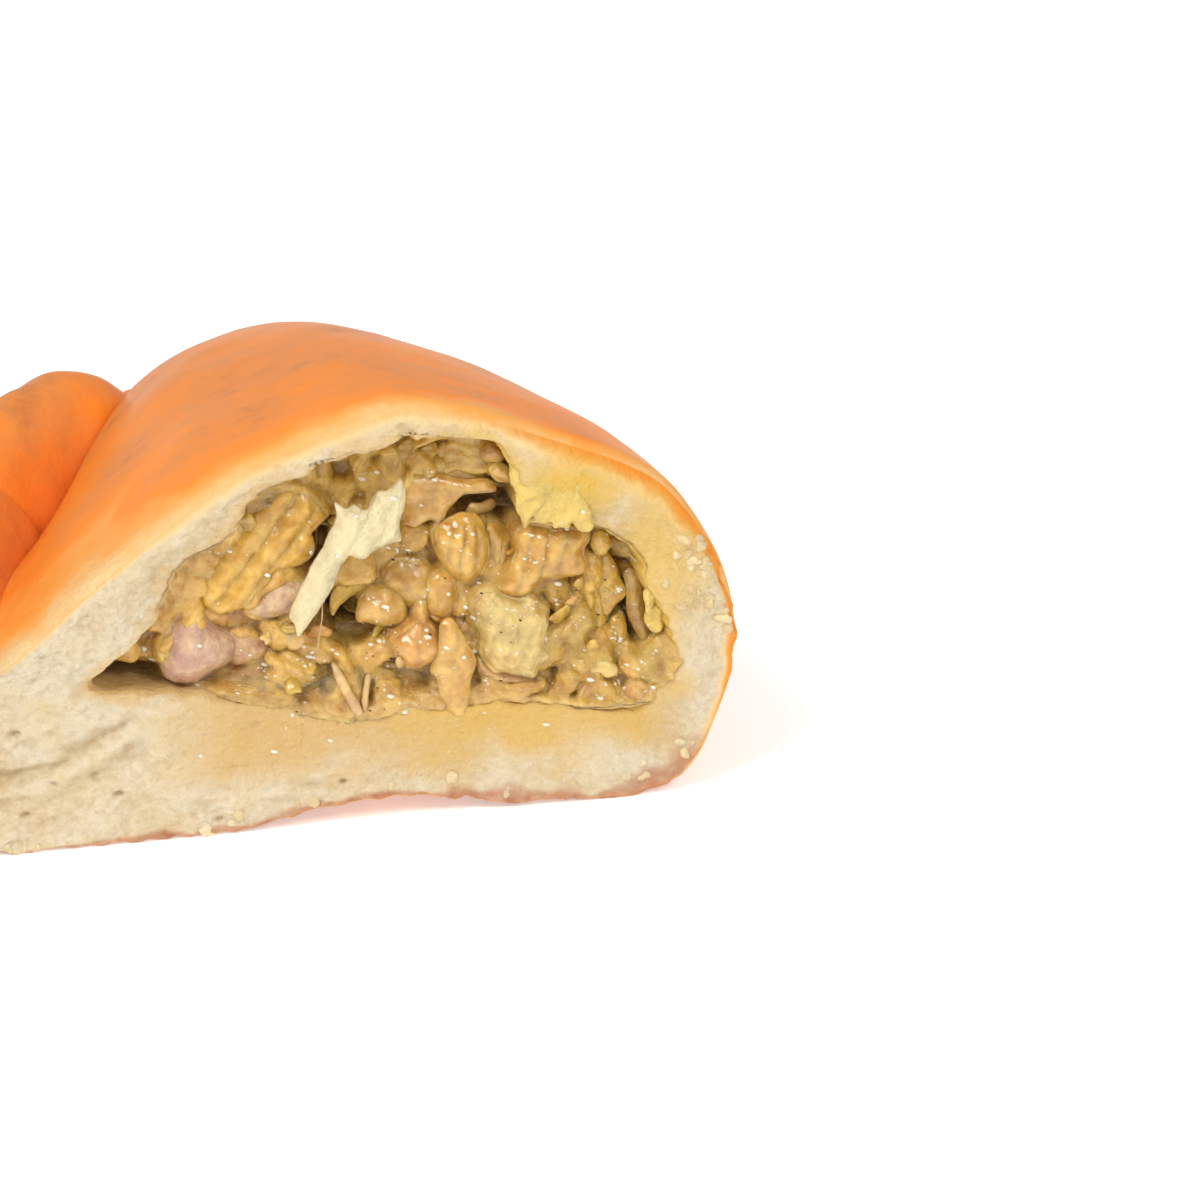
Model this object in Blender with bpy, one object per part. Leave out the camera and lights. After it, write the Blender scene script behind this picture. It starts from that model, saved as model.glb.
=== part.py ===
"""Half of a baked half-moon empanada, cut straight across and filled with chicken and onion.

The cut looks along -Y and the body runs back along +Y to its closed tip. The round fold is
on +X and the rope of pleats that seals the edge is on -X. The base is at z = 0.
Lengths are in millimetres from the cut's plane until a mesh is made, and then in metres.
"""

import math

import bmesh
import bpy
import numpy as np

MM = 0.001

# Outer sizes
LENGTH = 77.9  # from the cut to the closed tip
FACE_CENTRE = (4.0, 21.0)  # x, z that the cut outline is measured round
TIP_CENTRE = (1.9, 14.9)  # x, z of the tip
TIP_HALF = (26.8, 21.5)  # half width and half height that sections take on towards the tip
NARROWING = 0.76  # how fast sections shrink: 1 is an ellipse, less is blunter
BASE_NARROWING = 0.2  # the same below the middle, so that the body lies flat nearly to its tip
BASE_FULLNESS = 0.25  # how much further down sections reach before the base flattens them
LEAN = -4.4  # how far the crest drifts towards the rope, by the tip
ORIGIN = (-1.9, 37.9)  # x, y of the middle of the whole, which becomes x = y = 0

# The cut outline, x and z, from the rope's outer side along the base
CUT_OUTLINE = (
    (-46.0, 9.0), (-45.2, 4.2), (-41.5, 0.0), (-30.0, 0.0), (-15.0, 0.0), (0.0, 0.0),
    (15.0, 0.0), (27.0, 0.0), (33.5, 1.0), (37.6, 3.4), (40.1, 8.7), (41.8, 14.3),
    (42.1, 20.5), (40.6, 26.2), (36.6, 33.2), (32.0, 37.2), (22.9, 41.3), (14.5, 44.4),
    (7.4, 45.5), (-0.5, 43.2), (-8.5, 39.8), (-15.0, 35.7), (-24.8, 27.8), (-33.4, 20.4),
    (-38.5, 18.8), (-43.5, 15.6),
)

# The pocket that holds the filling
POCKET_CENTRE = (5.0, 24.0)
POCKET_END = (2.0, 19.0)
POCKET_DEPTH = 57.0
POCKET_HALF = (20.0, 15.0)
POCKET_BLUNTNESS = 0.62
POCKET_OUTLINE = (
    (-24.0, 18.3), (-18.6, 16.7), (-8.6, 15.2), (1.5, 12.2), (6.3, 12.6), (17.4, 12.6),
    (30.2, 10.8), (35.2, 13.4), (35.4, 17.0), (32.4, 24.1), (30.8, 28.2), (26.2, 31.2),
    (20.2, 31.9), (19.0, 36.5), (16.6, 41.2), (7.3, 41.4), (-0.7, 39.4), (-6.4, 37.2),
    (-9.4, 33.2), (-14.2, 30.4), (-17.6, 24.6),
)

# The rope of pleats along the sealed edge: x, y, z of its middle, half width, height above it
ROPE = (
    (-35.5, 1.2, 8.0, 6.5, 7.5), (-37.0, 9.0, 8.5, 8.6, 11.5), (-37.2, 23.0, 9.0, 8.8, 16.0),
    (-34.6, 38.0, 10.0, 9.4, 19.5), (-28.0, 50.5, 10.5, 9.6, 19.2), (-18.5, 60.5, 10.0, 9.4, 20.3),
    (-7.5, 68.0, 9.0, 8.6, 13.5), (3.5, 73.0, 7.5, 5.0, 5.5),
)
ROPE_DEPTH = 14.0  # how far its sections reach below their middle, before the base flattens them
ROPE_STEPS = 36
ROPE_COLUMNS = 18
PLEATS = 4.2  # pleats along the rope
PLEAT_START = 0.59  # where along a pleat the rope begins
PLEAT_DEPTH = 0.2  # how much of its size the rope loses in the creases
PLEAT_SLANT = 0.3  # how far a crease leans along the rope, in pleats

# The underside bows up a little behind the cut
ARCH_HEIGHT = 2.4
ARCH_CENTRE = 5.0
ARCH_HALF_WIDTH = 13.0
ARCH_DEPTH = 16.0

# Fineness and clearance
GAP = 0.3  # between pieces that lie against each other
CORE_GAP = 0.7  # between the filling's own wall and the pocket
DOUGH_COLUMNS = 88
BODY_ROWS = 18
FACE_ROWS = 4
POCKET_ROWS = 5
CORE_COLUMNS = 64
FRONT_ROWS = 8
CRUMB = 0.4  # relief of the torn crumb on the cut

# The front of the filling slopes back as it rises, and has deep gaps between its pieces
FRONT_FLOOR = 0.8
FRONT_SLOPE = 0.14
FRONT_RELIEF = 0.5
GAPS = (  # x, z, half width, half height, depth
    (2.2, 22.3, 2.3, 2.1, 8.0), (-1.4, 31.0, 1.4, 3.0, 6.0), (16.0, 32.6, 3.6, 1.7, 6.5),
    (30.6, 25.4, 1.3, 2.2, 7.0), (29.9, 20.0, 1.2, 1.0, 5.0), (7.3, 13.6, 3.4, 2.4, 6.0),
    (-19.6, 17.4, 4.2, 1.0, 5.0), (-5.5, 35.4, 1.4, 1.0, 3.0), (32.6, 17.6, 1.4, 1.2, 4.0),
)

# Pieces of filling large enough to lift out, front ones first:
# name, centre, half sizes, turn in degrees, squareness, bend, ridges, roughness, colour
PIECES = (
    ("chicken_finger", (12.0, 0.2, 16.9), (2.0, 1.9, 5.6), (0, -8, 0), 1.0, 0.6, 0, 0.10, "meat"),
    ("onion_centre", (18.3, 1.2, 19.5), (4.1, 3.4, 4.9), (4, 6, 8), 0.8, -0.8, 0, 0.13, "onion"),
    ("onion_wide", (21.9, 2.6, 27.3), (4.8, 2.8, 3.6), (-8, 9, 4), 0.8, -0.6, 3, 0.07, "onion"),
    ("onion_tall", (13.6, 3.4, 27.9), (3.3, 3.2, 4.6), (-6, 12, -8), 0.9, -0.6, 2, 0.05, "onion"),
    ("chicken_orange", (7.6, 1.2, 19.8), (2.5, 2.6, 2.4), (0, 15, 0), 1.0, 0.0, 0, 0.16, "chicken"),
    ("chicken_beige", (6.0, 3.2, 24.6), (2.5, 2.4, 1.8), (0, -10, 0), 1.0, 0.0, 0, 0.14, "meat"),
    ("onion_green", (26.3, 3.6, 19.8), (2.3, 2.5, 4.3), (0, -6, 10), 0.85, -0.4, 2, 0.08, "leek"),
    ("onion_petal", (29.0, 4.4, 24.0), (1.7, 1.2, 3.0), (10, -35, 10), 0.9, -0.6, 1, 0.06, "leek"),
    ("onion_strip", (32.0, 2.9, 20.2), (0.8, 1.0, 4.0), (0, 10, 0), 1.0, 0.9, 0, 0.04, "onion"),
    ("leek_slice", (29.9, 4.8, 15.3), (1.3, 1.6, 2.8), (0, 14, 0), 0.9, -0.4, 1, 0.08, "leek"),
    ("chicken_right", (33.0, 2.6, 13.9), (1.8, 2.3, 2.3), (0, 0, 0), 1.0, 0.0, 0, 0.18, "chicken"),
    ("chicken_middle", (25.7, 2.9, 13.6), (2.4, 2.4, 1.8), (0, -8, 0), 1.0, 0.0, 0, 0.18, "chicken"),
    ("chicken_left", (-13.9, 2.6, 20.6), (3.7, 2.8, 3.1), (0, -12, 0), 0.85, 0.0, 0, 0.10, "chicken"),
    ("chicken_back", (-5.4, 4.6, 24.6), (3.5, 2.4, 1.9), (0, -28, 0), 0.85, 0.0, 0, 0.10, "chicken"),
    ("onion_top", (11.8, 5.0, 36.6), (4.3, 1.7, 3.0), (18, -10, 0), 0.8, -0.8, 0, 0.09, "onion"),
)
PIECE_COLUMNS = 12
PIECE_ROWS = 8

# The torn strip of dough that hangs over the filling: its left and right edges, x and z, upwards
STRIP_EDGES = (
    ((-4.4, 22.9), (-3.6, 21.6)), ((-3.6, 24.8), (-2.3, 22.6)), ((-2.3, 26.8), (-0.9, 24.7)),
    ((-1.1, 29.0), (0.6, 27.3)), ((0.0, 31.3), (2.3, 30.0)), ((0.4, 33.6), (5.4, 30.8)),
    ((1.1, 35.3), (7.4, 32.3)), ((2.8, 35.9), (7.6, 34.7)), ((4.8, 36.9), (7.3, 37.0)),
)
STRIP_FRONT = -0.4
STRIP_THICKNESS = 1.8
STRIP_BOW = 1.0
STRIP_COLUMNS = 4

# Small lumps fused to the filling
LUMPS = 36
LUMP_HALF = (0.9, 2.3)
LUMP_ROUGHNESS = 0.15
LUMP_RISE = 0.2  # how far a lump's middle stands before the filling's front
LUMP_SEED = 500
PIECE_SEED = 40
LUMP_COLUMNS = 7
LUMP_ROWS = 5
KEEP_FRONT = -7.0  # how far before the cut the space for the filling runs

COLOURS = {  # sRGB
    "crust": (0.86, 0.50, 0.22),
    "dough": (0.95, 0.87, 0.68),
    "filling": (0.76, 0.61, 0.33),
    "onion": (0.82, 0.70, 0.38),
    "leek": (0.76, 0.68, 0.28),
    "chicken": (0.83, 0.68, 0.60),
    "meat": (0.84, 0.68, 0.44),
}


def catmull_rom(points, steps):
    """A smooth closed curve through the points: each stretch is the usual cubic of four."""
    points = np.asarray(points, float)
    at = np.arange(len(points) * steps) / steps
    first = at.astype(int)
    part = (at - first)[:, None]
    before, here, after, beyond = (points[(first + i) % len(points)] for i in (-1, 0, 1, 2))
    return 0.5 * (
        2 * here
        + (after - before) * part
        + (2 * before - 5 * here + 4 * after - beyond) * part**2
        + (3 * here - before - 3 * after + beyond) * part**3
    )


def radius_of(outline, centre, angle):
    """Distance from the centre to the smooth outline, in the direction of each angle."""
    curve = catmull_rom(outline, 24) - np.asarray(centre)
    around = np.arctan2(curve[:, 1], curve[:, 0])
    reach = np.hypot(curve[:, 0], curve[:, 1])
    order = np.argsort(around)
    around, reach = around[order], reach[order]
    turns = np.concatenate([around - 2 * math.pi, around, around + 2 * math.pi])
    return np.interp(angle, turns, np.tile(reach, 3))


def ellipse_radius(angle, half):
    """Distance from the middle of an ellipse to its edge."""
    return 1 / np.hypot(np.cos(angle) / half[0], np.sin(angle) / half[1])


def waves(points, size, seed):
    """Smooth unevenness, mostly from -1 to 1: a sum of seeded sine waves about `size` long."""
    rng = np.random.default_rng(seed)
    count = 7
    total = np.zeros(points.shape[:-1])
    for _ in range(count):
        way = rng.normal(size=3)
        way *= 2 * math.pi / (size * np.linalg.norm(way) * rng.uniform(0.7, 1.5))
        total += np.sin(points @ way + rng.uniform(0, 2 * math.pi))
    return total / math.sqrt(count)


def crust(angle, slide):
    """The outer surface: section outlines that shrink along the body and morph to an ellipse.

    `slide` runs from 0 at the cut to a quarter turn at the tip.
    """
    y = LENGTH * np.sin(slide)
    to_tip = np.sin(slide) ** 1.2
    reach = radius_of(CUT_OUTLINE, FACE_CENTRE, angle) * (1 - to_tip)
    reach = (reach + ellipse_radius(angle, TIP_HALF) * to_tip) * np.cos(slide) ** NARROWING
    centre_x = FACE_CENTRE[0] + (TIP_CENTRE[0] - FACE_CENTRE[0]) * np.sin(slide) ** 1.45
    centre_z = FACE_CENTRE[1] + (TIP_CENTRE[1] - FACE_CENTRE[1]) * np.sin(slide) ** 2
    x = centre_x + reach * np.cos(angle)
    rise = reach * np.sin(angle)
    level = np.maximum(np.cos(slide), 0.01)
    fuller = level ** (BASE_NARROWING - NARROWING) * (1 + BASE_FULLNESS * np.sqrt(np.sin(slide)))
    z = centre_z + np.where(rise < 0, rise * fuller, rise)
    x = x + LEAN * np.maximum(z - 17, 0) / 28 * y / LENGTH
    across = (x - ARCH_CENTRE) / ARCH_HALF_WIDTH
    arch = ARCH_HEIGHT * (1.1 * np.exp(-(across**2) - (y / ARCH_DEPTH) ** 2) - 0.1)
    return np.stack([x, y, np.maximum(z, np.maximum(arch, 0))], -1)


def open_spline(points, steps):
    """A smooth open curve through the points: its ends are carried on straight."""
    points = np.asarray(points, float)
    ends = np.concatenate([2 * points[:1] - points[1:2], points, 2 * points[-1:] - points[-2:-1]])
    at = np.linspace(0, len(points) - 1, steps)
    first = np.minimum(at.astype(int), len(points) - 2)
    part = (at - first)[:, None]
    before, here, after, beyond = (ends[first + i] for i in range(4))
    return 0.5 * (
        2 * here
        + (after - before) * part
        + (2 * before - 5 * here + 4 * after - beyond) * part**2
        + (3 * here - before - 3 * after + beyond) * part**3
    )


def rope(steps, columns):
    """The rope: upright ovals along its path, swollen into slanting pleats, flat on the base."""
    path = open_spline(ROPE, steps)
    run = np.gradient(path[:, :2], axis=0)
    run = run / np.linalg.norm(run, axis=1)[:, None]
    side = np.stack([run[:, 1], -run[:, 0], np.zeros(steps)], -1)
    angle = np.arange(columns) * 2 * math.pi / columns
    along = np.linspace(0, 1, steps)[:, None]
    phase = PLEAT_START + along * PLEATS + PLEAT_SLANT * np.sin(angle)
    swell = 1 - PLEAT_DEPTH * (1 - np.abs(np.sin(math.pi * phase)) ** 0.7)
    end = np.sqrt(np.clip(1 - (2 * along - 1) ** 12, 0, 1))
    across = path[:, 3, None] * np.cos(angle) * swell * end
    height = np.where(np.sin(angle) > 0, path[:, 4, None], ROPE_DEPTH)
    up = height * np.sin(angle) * swell * end
    points = path[:, None, :3] + side[:, None] * across[..., None]
    points[..., 2] = np.maximum(points[..., 2] + up, 0)
    return points


def pocket(angle, slide, inset=0.0):
    """The pocket's wall, as the crust's sections but with its own outline and depth."""
    y = (POCKET_DEPTH - inset) * np.sin(slide)
    deep = np.sin(slide) ** 1.3
    reach = radius_of(POCKET_OUTLINE, POCKET_CENTRE, angle) * (1 - deep)
    reach = (reach + ellipse_radius(angle, POCKET_HALF) * deep) * np.cos(slide) ** POCKET_BLUNTNESS
    reach = np.maximum(reach - inset, 0)
    x = POCKET_CENTRE[0] + (POCKET_END[0] - POCKET_CENTRE[0]) * deep + reach * np.cos(angle)
    z = POCKET_CENTRE[1] + (POCKET_END[1] - POCKET_CENTRE[1]) * deep + reach * np.sin(angle)
    return np.stack([x, y, z], -1)


def front_of_filling(x, z):
    """Depth of the filling's front behind the cut: a slope, waves and the gaps' bell shapes."""
    here = np.stack([x, np.zeros_like(x), z], -1)
    depth = FRONT_FLOOR + FRONT_SLOPE * (z - 12) + FRONT_RELIEF * (1 + waves(here, 5.0, 3))
    for at_x, at_z, half_x, half_z, deep in GAPS:
        depth = depth + deep * np.exp(-(((x - at_x) / half_x) ** 2) - ((z - at_z) / half_z) ** 2)
    return depth


def morsel(half, square, bend, ridges, rough, seed, columns, rows):
    """A ball squared off by powers of its sines, roughened, ridged across and bent at the sides."""
    longitude = np.arange(columns) * 2 * math.pi / columns
    latitude = np.linspace(0, math.pi, rows)
    longitude, latitude = np.meshgrid(longitude, latitude)

    def powered(value):
        return np.sign(value) * np.abs(value) ** square

    ring = np.where(np.isin(latitude, (0, math.pi)), 0, powered(np.sin(latitude)))
    ball = np.stack(
        [ring * powered(np.cos(longitude)), ring * powered(np.sin(longitude)), powered(np.cos(latitude))], -1
    )
    ball = ball * (1 + rough * waves(ball, 1.1, seed))[..., None]
    points = ball * np.asarray(half)
    points[..., 1] += 0.12 * half[1] * np.cos(ridges * math.pi * ball[..., 0]) * (ridges > 0)
    points[..., 1] -= bend * (ball[..., 0] ** 2 - 0.3)
    return points


def material(name):
    """A plain Principled finish in the piece's colour."""
    if name in bpy.data.materials:
        return bpy.data.materials[name]
    made = bpy.data.materials.new(name)
    made.use_nodes = True
    shader = made.node_tree.nodes["Principled BSDF"]
    linear = [c / 12.92 if c <= 0.04045 else ((c + 0.055) / 1.055) ** 2.4 for c in COLOURS[name]]
    shader.inputs["Base Color"].default_value = (*linear, 1)
    shader.inputs["Roughness"].default_value = 0.35 if name != "dough" else 0.8
    shader.inputs["Metallic"].default_value = 0
    made.diffuse_color = (*linear, 1)
    return made


def add_object(name, points, faces, colour, place, turn):
    """An object from points round its own place, given in millimetres, and its turn in degrees."""
    mesh = bpy.data.meshes.new(name)
    mesh.from_pydata((points * MM).tolist(), [], faces)
    mesh.materials.append(material(colour))
    mesh.shade_smooth()
    mesh.set_sharp_from_angle(angle=math.radians(40))
    thing = bpy.data.objects.new(name, mesh)
    thing.location = (np.asarray(place) - np.array([*ORIGIN, 0])) * MM
    thing.rotation_euler = [math.radians(degrees) for degrees in turn]
    bpy.context.scene.collection.objects.link(thing)
    return thing


def closed_grid(name, rows, colour, place=(0, 0, 0), turn=(0, 0, 0)):
    """A closed skin over rings of points whose first and last rings are single points."""
    rings = rows[1:-1]
    count = rings.shape[1]
    points = np.concatenate([rows[0, :1], rings.reshape(-1, 3), rows[-1, :1]])
    last = len(points) - 1
    faces = []
    for i in range(count):
        j = (i + 1) % count
        faces.append((0, 1 + i, 1 + j))
        for k in range(len(rings) - 1):
            low, high = 1 + k * count, 1 + (k + 1) * count
            faces.append((low + i, high + i, high + j, low + j))
        top = 1 + (len(rings) - 1) * count
        faces.append((top + j, top + i, last))
    return add_object(name, points, faces, colour, place, turn)


def facing_out(thing):
    """Turns the faces round if the mesh encloses a negative volume."""
    mesh = thing.data
    mesh.calc_loop_triangles()
    corners = np.array([[mesh.vertices[i].co for i in t.vertices] for t in mesh.loop_triangles])
    if np.linalg.det(corners).sum() < 0:
        mesh.flip_normals()
    return thing


def boolean(thing, others, operation):
    """Applies one Boolean with a collection of other objects, and removes them.

    The exact solver loses the whole body after a few of these cuts, so this uses MANIFOLD.
    """
    group = bpy.data.collections.new("group")
    bpy.context.scene.collection.children.link(group)
    for other in others:
        bpy.context.scene.collection.objects.unlink(other)
        group.objects.link(other)
    modifier = thing.modifiers.new("join", "BOOLEAN")
    modifier.operation = operation
    modifier.operand_type = "COLLECTION"
    modifier.collection = group
    modifier.solver = "MANIFOLD"
    graph = bpy.context.evaluated_depsgraph_get()
    result = bpy.data.meshes.new_from_object(thing.evaluated_get(graph))
    thing.modifiers.clear()
    thing.data = result
    for other in list(group.objects):
        bpy.data.objects.remove(other)
    bpy.data.collections.remove(group)


def drop_scraps(thing):
    """Keeps the largest of the parts that hang together by whole edges."""
    body = bmesh.new()
    body.from_mesh(thing.data)
    left = set(body.faces)
    parts = []
    while left:
        part, edge = set(), {left.pop()}
        while edge:
            part |= edge
            edge = {f for g in edge for e in g.edges for f in e.link_faces} & left
            left -= edge
        parts.append(part)
    largest = max(parts, key=len)
    scraps = [face for part in parts if part is not largest for face in part]
    bmesh.ops.delete(body, geom=scraps, context="FACES")
    body.to_mesh(thing.data)
    body.free()


def column_angles(columns):
    """The angle of each column of a grid that runs round the body."""
    return np.arange(columns) * 2 * math.pi / columns


def make_dough():
    """The pastry: pocket wall, cut face and outer crust in one closed skin."""
    angle = column_angles(DOUGH_COLUMNS)
    inner = np.linspace(math.pi / 2, 0, POCKET_ROWS + 1)
    outer = np.linspace(0, math.pi / 2, BODY_ROWS + 1)
    wall = pocket(*np.meshgrid(angle, inner))
    shell = crust(*np.meshgrid(angle, outer))
    share = (np.arange(1, FACE_ROWS) / FACE_ROWS)[:, None, None]
    face = wall[-1] + (shell[0] - wall[-1]) * share
    face[..., 1] += CRUMB * (1 + waves(face, 3.2, 11)) / 2
    wall[-1, :, 1] += CRUMB * (1 + waves(wall[-1], 2.6, 12)) / 2
    dough = facing_out(closed_grid("dough", np.concatenate([wall, face, shell]), "crust"))
    pleats = facing_out(closed_grid("rope", rope(ROPE_STEPS, ROPE_COLUMNS), "crust"))
    boolean(dough, [pleats], "UNION")
    drop_scraps(dough)


def make_space():
    """The space the filling may take: the pocket less a gap, carried forward past the cut."""
    angle = column_angles(DOUGH_COLUMNS)
    wall = pocket(*np.meshgrid(angle, np.linspace(math.pi / 2, 0, POCKET_ROWS + 1)), GAP)
    front = wall[-1:].copy()
    front[..., 1] = KEEP_FRONT
    end = np.broadcast_to(front.mean(axis=1, keepdims=True), front.shape)
    return facing_out(closed_grid("space", np.concatenate([wall, front, end]), "filling"))


def make_strip(grow, name):
    """The torn strip: a ribbon between its two edges, bowed forward; `grow` widens it."""
    left, right = np.moveaxis(np.asarray(STRIP_EDGES), 1, 0)
    across = right - left
    across = across / np.linalg.norm(across, axis=1)[:, None]
    along = np.gradient((left + right) / 2, axis=0)
    along = along / np.linalg.norm(along, axis=1)[:, None]
    end = np.zeros((len(left), 1))
    end[0], end[-1] = -grow, grow
    left = left - across * grow + along * end
    right = right + across * grow + along * end
    share = np.linspace(0, 1, STRIP_COLUMNS)[None, :, None]
    sheet = left[:, None] + (right - left)[:, None] * share
    rise = np.linspace(0, math.pi, len(left))[:, None]
    y = STRIP_FRONT - STRIP_BOW * np.sin(rise) * np.ones((1, STRIP_COLUMNS))
    front = np.stack([sheet[..., 0], y - grow, sheet[..., 1]], -1)
    back = front + np.array([0, STRIP_THICKNESS + 2 * grow, 0])
    rings = np.concatenate([front, back[:, ::-1]], axis=1)
    foot = rings[:1].mean(axis=1, keepdims=True) + np.zeros_like(rings[:1])
    head = rings[-1:].mean(axis=1, keepdims=True) + np.zeros_like(rings[:1])
    return facing_out(closed_grid(name, np.concatenate([foot, rings, head]), "dough"))


def make_piece(row, grow, name):
    """One large piece of the filling; `grow` makes the larger copy that cuts room for it."""
    _, centre, half, turn, square, bend, ridges, rough, colour = row
    seed = PIECE_SEED + [r[0] for r in PIECES].index(row[0])
    half = np.asarray(half) + grow
    points = morsel(half, square, bend, ridges, rough, seed, PIECE_COLUMNS, PIECE_ROWS)
    return facing_out(closed_grid(name, points, colour, centre, turn))


def make_lump(number):
    """A small lump at a seeded place on the filling's front, or None beside a large piece."""
    rng = np.random.default_rng(LUMP_SEED + number)
    angle = rng.uniform(0, 2 * math.pi)
    reach = math.sqrt(rng.uniform(0.01, 0.86))
    x = POCKET_CENTRE[0] + reach * math.cos(angle) * radius_of(POCKET_OUTLINE, POCKET_CENTRE, angle)
    z = POCKET_CENTRE[1] + reach * math.sin(angle) * radius_of(POCKET_OUTLINE, POCKET_CENTRE, angle)
    half = rng.uniform(*LUMP_HALF, 3)
    for row in PIECES:
        apart = (np.array([x, z]) - np.array(row[1])[[0, 2]]) / (np.array(row[2])[[0, 2]] + GAP)
        if np.hypot(*apart) < 1:
            return None
    y = float(front_of_filling(np.array([x]), np.array([z]))[0]) - LUMP_RISE
    turn = rng.uniform(0, 180, 3)
    points = morsel(half, 1.0, 0, 0, LUMP_ROUGHNESS, number, LUMP_COLUMNS, LUMP_ROWS)
    return facing_out(closed_grid(f"lump_{number}", points, "filling", (x, y, z), turn))


def make_filling():
    """The heap: a core that fills the pocket with lumps fused on, cut back round large pieces."""
    angle = column_angles(CORE_COLUMNS)
    rim = pocket(angle, np.zeros(CORE_COLUMNS), CORE_GAP)
    rim_slide = np.arcsin(front_of_filling(rim[:, 0], rim[:, 2]) / POCKET_DEPTH)
    steps = np.linspace(1, 0, POCKET_ROWS + 1)[:, None]
    slides = rim_slide + (math.pi / 2 - rim_slide) * steps
    wall = pocket(np.broadcast_to(angle, slides.shape), slides, CORE_GAP)
    middle = np.array([POCKET_CENTRE[0], 0, POCKET_CENTRE[1]])
    share = (1 - np.arange(1, FRONT_ROWS + 1) / FRONT_ROWS)[:, None, None]
    front = middle + (wall[-1] - middle) * share
    front[..., 1] = front_of_filling(front[..., 0], front[..., 2])
    core = facing_out(closed_grid("filling", np.concatenate([wall, front]), "filling"))
    lumps = [made for made in map(make_lump, range(LUMPS)) if made]
    boolean(core, lumps, "UNION")
    boolean(core, [make_space()], "INTERSECT")
    rooms = [make_piece(row, GAP, "room") for row in PIECES] + [make_strip(GAP, "room")]
    for room in rooms:
        boolean(core, [room], "DIFFERENCE")
    drop_scraps(core)
    return core


def make_pieces():
    """Each large piece in its own room, cut back where an earlier piece lies in front of it."""
    make_strip(0, "torn_dough_strip")
    for number, row in enumerate(PIECES):
        piece = make_piece(row, 0, row[0])
        boolean(piece, [make_space()], "INTERSECT")
        boolean(piece, [make_strip(GAP, "room")], "DIFFERENCE")
        for earlier in PIECES[:number]:
            boolean(piece, [make_piece(earlier, GAP, "room")], "DIFFERENCE")
        drop_scraps(piece)


def main():
    for thing in list(bpy.data.objects):
        bpy.data.objects.remove(thing)
    make_dough()
    make_filling()
    make_pieces()


main()
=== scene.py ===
"""Half of a baked chicken empanada, cut straight across: fine surfaces and finishes over its solids.

The cut looks along -Y and the body runs back along +Y to its closed tip. The round fold is on
+X and the rope of pleats is on -X. Shapes are worked out in millimetres from the cut's plane,
with x = 0 near the pocket's middle and the base at z = 0, and then moved to the frame's place.
"""

import math
from functools import partial

import bpy
import numpy as np
from mathutils import Matrix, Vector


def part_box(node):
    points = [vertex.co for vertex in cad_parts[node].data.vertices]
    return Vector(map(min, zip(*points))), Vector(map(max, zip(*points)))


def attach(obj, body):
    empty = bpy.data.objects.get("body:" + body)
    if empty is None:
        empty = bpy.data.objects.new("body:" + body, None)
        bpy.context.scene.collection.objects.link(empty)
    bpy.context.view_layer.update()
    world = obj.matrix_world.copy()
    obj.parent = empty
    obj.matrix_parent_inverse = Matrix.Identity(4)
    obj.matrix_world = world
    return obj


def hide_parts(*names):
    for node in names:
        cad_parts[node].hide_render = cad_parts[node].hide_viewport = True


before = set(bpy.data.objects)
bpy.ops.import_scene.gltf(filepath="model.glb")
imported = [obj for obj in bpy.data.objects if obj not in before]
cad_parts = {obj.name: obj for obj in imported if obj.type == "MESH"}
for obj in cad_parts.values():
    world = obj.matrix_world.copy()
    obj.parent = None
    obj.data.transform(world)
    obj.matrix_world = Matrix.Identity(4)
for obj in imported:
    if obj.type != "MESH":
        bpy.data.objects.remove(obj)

bl_info = {
    "name": "Cut Chicken Empanada",
    "version": (1, 0, 0),
    "blender": (4, 5, 0),
    "location": "View3D > Sidebar > Empanada",
    "description": "Pastry, filling and loose pieces of the cut half of a baked chicken empanada",
    "category": "Object",
}

MM = 0.001
TURN = 2 * math.pi
UP = np.array([0.0, 0.0, 1.0])

# The body, as in the part's source
LENGTH = 77.9
FACE_CENTRE = (4.0, 21.0)
TIP_CENTRE = (1.9, 14.9)
TIP_HALF = (26.8, 21.5)
NARROWING = 0.76
BASE_NARROWING = 0.2
BASE_FULLNESS = 0.25
LEAN = -4.4
LEAN_FROM = 17.0  # the height from which it leans
LEAN_RISE = 28.0  # the crest's height above that
MORPH = 1.2  # how late sections take on the tip's ellipse
DRIFT = (1.45, 2)  # how late their middles move to the tip's, in x and z
CUT_OUTLINE = (
    (-46.0, 9.0), (-45.2, 4.2), (-41.5, 0.0), (-30.0, 0.0), (-15.0, 0.0), (0.0, 0.0),
    (15.0, 0.0), (27.0, 0.0), (33.5, 1.0), (37.6, 3.4), (40.1, 8.7), (41.8, 14.3),
    (42.1, 20.5), (40.6, 26.2), (36.6, 33.2), (32.0, 37.2), (22.9, 41.3), (14.5, 44.4),
    (7.4, 45.5), (-0.5, 43.2), (-8.5, 39.8), (-15.0, 35.7), (-24.8, 27.8), (-33.4, 20.4),
    (-38.5, 18.8), (-43.5, 15.6),
)
ARCH_HEIGHT = 2.4
ARCH_CENTRE = 5.0
ARCH_HALF_WIDTH = 13.0
ARCH_DEPTH = 16.0

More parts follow.
